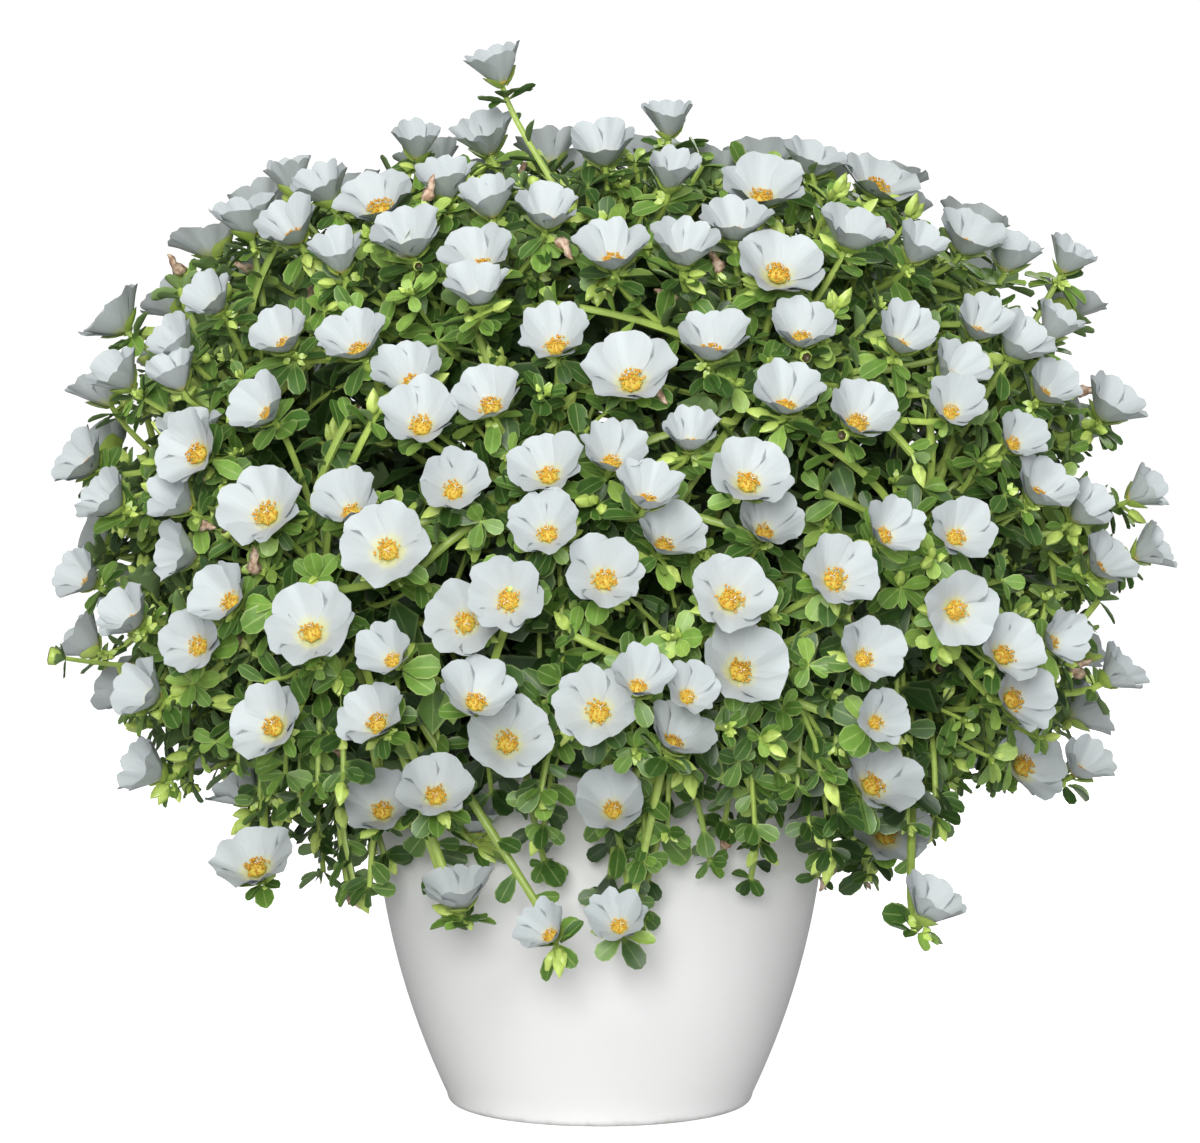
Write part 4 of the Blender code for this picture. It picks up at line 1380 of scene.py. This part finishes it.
def growRunner(spray, heaps, draws):
    # a long bare stem that lies just under the blooms and ends in a leafy tip
    turn = draws.uniform(0, math.tau)
    normal = domeNormal(spray["core"]).normalized()
    side = normal.orthogonal().normalized()
    way = around(side, normal, turn)
    start = spray["core"] + normal * 0.010
    length = draws.uniform(*shoot["runnerLength"])
    toTip = start + way * length + normal * 0.04 - Vector((0, 0, layout["domeMiddle"]))
    tip = onDome(toTip.normalized(), draws.uniform(0.86, 0.96))
    rise = normal * draws.uniform(0.020, 0.034)
    path = bezier(start, start.lerp(tip, 0.3) + rise, start.lerp(tip, 0.72) + rise * 0.5, tip, 9)
    leafOut(heaps, path, shoot["runnerRadius"], length * 0.55, 0.009, draws.uniform(0.3, 0.8), draws,
            (0.35, 0.70, 0.82, 0.88))


def growHanging(spray, heaps, draws):
    # shoots that bend down over the rim and at the dome's lower edge
    out = Vector((spray["outward"].x, spray["outward"].y, 0)).normalized()
    side = Vector((-out.y, out.x, 0))
    start = spray["core"] + out * 0.004
    drop = draws.uniform(*shoot["hangingDrop"])
    reach = out * draws.uniform(-0.050, 0.030) + side * draws.uniform(-0.080, 0.080)
    tip = start + reach + Vector((0, 0, -drop))
    lowest = draws.choice((1.0, 1.06, 1.12)) + max(0.21 - tip.xy.length, 0) * 3.2
    while domeLevel(tip) > lowest and drop > 0.02:
        drop *= 0.9
        tip = start + reach + Vector((0, 0, -drop))
    path = bezier(start, start + reach * 0.5 + Vector((0, 0, 0.010)),
                  start + reach * 0.95 + Vector((0, 0, -drop * 0.3)), tip, 8)
    leafOut(heaps, path, shoot["hangingRadius"], 0.010, shoot["leafGap"], draws.uniform(0.0, 0.45), draws)


def growApron(spray, heaps, draws):
    # short-leaved shoots that come over the rim and lie down the pot's wall
    out = Vector((spray["outward"].x, spray["outward"].y, 0)).normalized()
    out = (out + Vector((-out.y, out.x, 0)) * draws.uniform(-0.62, 0.62)).normalized()
    start = out * 0.100 + Vector((0, 0, draws.uniform(0.205, 0.225)))
    over = out * draws.uniform(0.140, 0.150) + Vector((0, 0, draws.uniform(0.205, 0.230)))
    tip = out * draws.uniform(0.134, 0.152) + Vector((0, 0, draws.uniform(*shoot["apronLow"])))
    side = Vector((-out.y, out.x, 0)) * draws.uniform(-0.030, 0.030)
    path = bezier(start, over, over.lerp(tip, 0.35) + out * 0.014 + side * 0.4, tip + side, 9)
    leafOut(heaps, path, shoot["apronRadius"], 0.030, 0.0082, draws.uniform(0.0, 0.38), draws,
            (0.24, 0.62, 0.72, 0.76))


def mainStemPath(spray):
    hole = spray["hole"]
    mouth = Vector((hole.x, hole.y, soilHeight(math.hypot(hole.x, hole.y)) + 0.008))
    lift = Vector((hole.x * 0.25, hole.y * 0.25, 0.075))
    return [mouth * (1 - t) ** 2 + (mouth + lift) * 2 * t * (1 - t) + spray["core"] * t * t
            for t in (i / 9 for i in range(10))]


def growMainStem(spray, heaps, draws):
    bend = mainStemPath(spray)
    heaps["stalks"].append(([spray["hole"] + Vector((0, 0, 0.020))] + bend, shoot["mainRadius"]))
    leafyStem(heaps, bend[3:], 0.0, 0.012, (0.012, 0.020), 0.25, draws)


def stemsPiece(name, stalks, node):
    # a spray's stems as two bevelled curves, the thin ones with fewer sides, turned into one mesh
    deselectAll()
    thin = 0.00135
    for sides, low, high in ((0, 0, thin), (1, thin, 1)):
        curve = bpy.data.curves.new(name, "CURVE")
        curve.dimensions = "3D"
        curve.bevel_depth = 1.0
        curve.bevel_resolution = sides
        curve.use_fill_caps = True
        for path, radius in stalks:
            if not low <= radius < high:
                continue
            spline = curve.splines.new("POLY")
            spline.points.add(len(path) - 1)
            for i, (point, place) in enumerate(zip(spline.points, path)):
                point.co = (*place, 1)
                point.radius = radius * (1.12 - 0.24 * i / (len(path) - 1))
        obj = bpy.data.objects.new(name, curve)
        bpy.context.scene.collection.objects.link(obj)
        obj.select_set(True)
        bpy.context.view_layer.objects.active = obj
    bpy.ops.object.convert(target="MESH")
    bpy.ops.object.join()
    obj = bpy.context.object
    obj.name = name
    editAll()
    bpy.ops.mesh.remove_doubles(threshold=0.00001)
    bpy.ops.mesh.normals_make_consistent(inside=False)
    bpy.ops.object.mode_set(mode="OBJECT")
    bpy.ops.object.shade_smooth_by_angle(angle=math.radians(60))
    finishPiece(obj, node, "stems")


def leavesInto(heap, plans):
    # leaves whose rib would stand in a bloom's cup are left out
    spots = np.array([[tuple(base + way * length * share) for share in (0.35, 0.7, 1.0)]
                      for base, way, _, length, _, _, _ in plans])
    hit = inTheWay(spots.reshape(-1, 3)).reshape(-1, 3).any(axis=1)
    kept = 0
    for blocked, (base, way, facing, length, tint, kind, other) in zip(hit, plans):
        if blocked:
            continue
        template = leaves[kind]
        addCopy(heap, template, placed(template, frameAlong(way, facing), length, base), clamp(tint), other)
        kept += 1
    return kept


def addSeedHead(sprays, allHeaps, draws):
    # the lone stem that reaches out past the dome's left side
    point, _ = seenOnDome(*layout["seedHeadSeen"])
    owner = min(range(len(sprays)), key=lambda i: (sprays[i]["core"] - point).length)
    heaps = allHeaps[owner]
    root = rootOf(point, sprays[owner])
    axis = Vector((-1, -0.2, 0.2)).normalized()
    path = bezier(root, root.lerp(point, 0.4), point - axis * 0.02, point, 9)
    heaps["stalks"].append((path, shoot["stalkRadius"]))
    addPart(heaps["buds"], "cup", axis, 0.010, point, 0.6)
    tipRosette(heaps, point - axis * 0.002, axis, 4, (0.009, 0.013), 0.4, draws)


# each kind of piece as (title, slot, largest angle that is smoothed)
pieceKinds = (("Leaves", "foliage", 70), ("Petals", "petals", 80), ("Stamens", "stamens", 100),
              ("Buds", "buds", 60), ("Withered", "withered", 60))


def growSprays():
    draws = random.Random(layout["seed"] + 9)
    allHeaps = []
    for spray in sprays:
        heaps = {slot: newHeap() for _, slot, _ in pieceKinds}
        heaps["stalks"], heaps["leafPlans"] = [], []
        allHeaps.append(heaps)
        growMainStem(spray, heaps, draws)
        for bloom in spray["blooms"]:
            addBloom(bloom, heaps, draws)
            growBloomStalk(bloom, heaps, draws)
        for number in range(shoot["each"]):
            growShoot(spray, number, heaps, draws)
        growInner(spray, heaps, draws)
        for _ in range(shoot["runners"]):
            growRunner(spray, heaps, draws)
        if spray["outward"].z < shoot["hangingBelow"]:
            for _ in range(shoot["hanging"]):
                growHanging(spray, heaps, draws)
            for _ in range(shoot["apron"]):
                growApron(spray, heaps, draws)
    addSeedHead(sprays, allHeaps, draws)
    count = 0
    for spray, heaps in zip(sprays, allHeaps):
        node = spray["name"]
        label = "spray" + node[-2:]
        count += leavesInto(heaps["foliage"], heaps["leafPlans"])
        for title, slot, smooth in pieceKinds:
            pieceFrom(label + title, heaps[slot], node, slot, smooth)
        stemsPiece(label + "Stems", heaps["stalks"], node)
    return count


print(growSprays(), "leaves grown")

# Triangle totals by slot

totals = {}
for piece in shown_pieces():
    piece.data.calc_loop_triangles()
    kind = piece.get("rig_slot", "none")
    totals[kind] = totals.get(kind, 0) + len(piece.data.loop_triangles)
print("triangles", totals, sum(totals.values()))
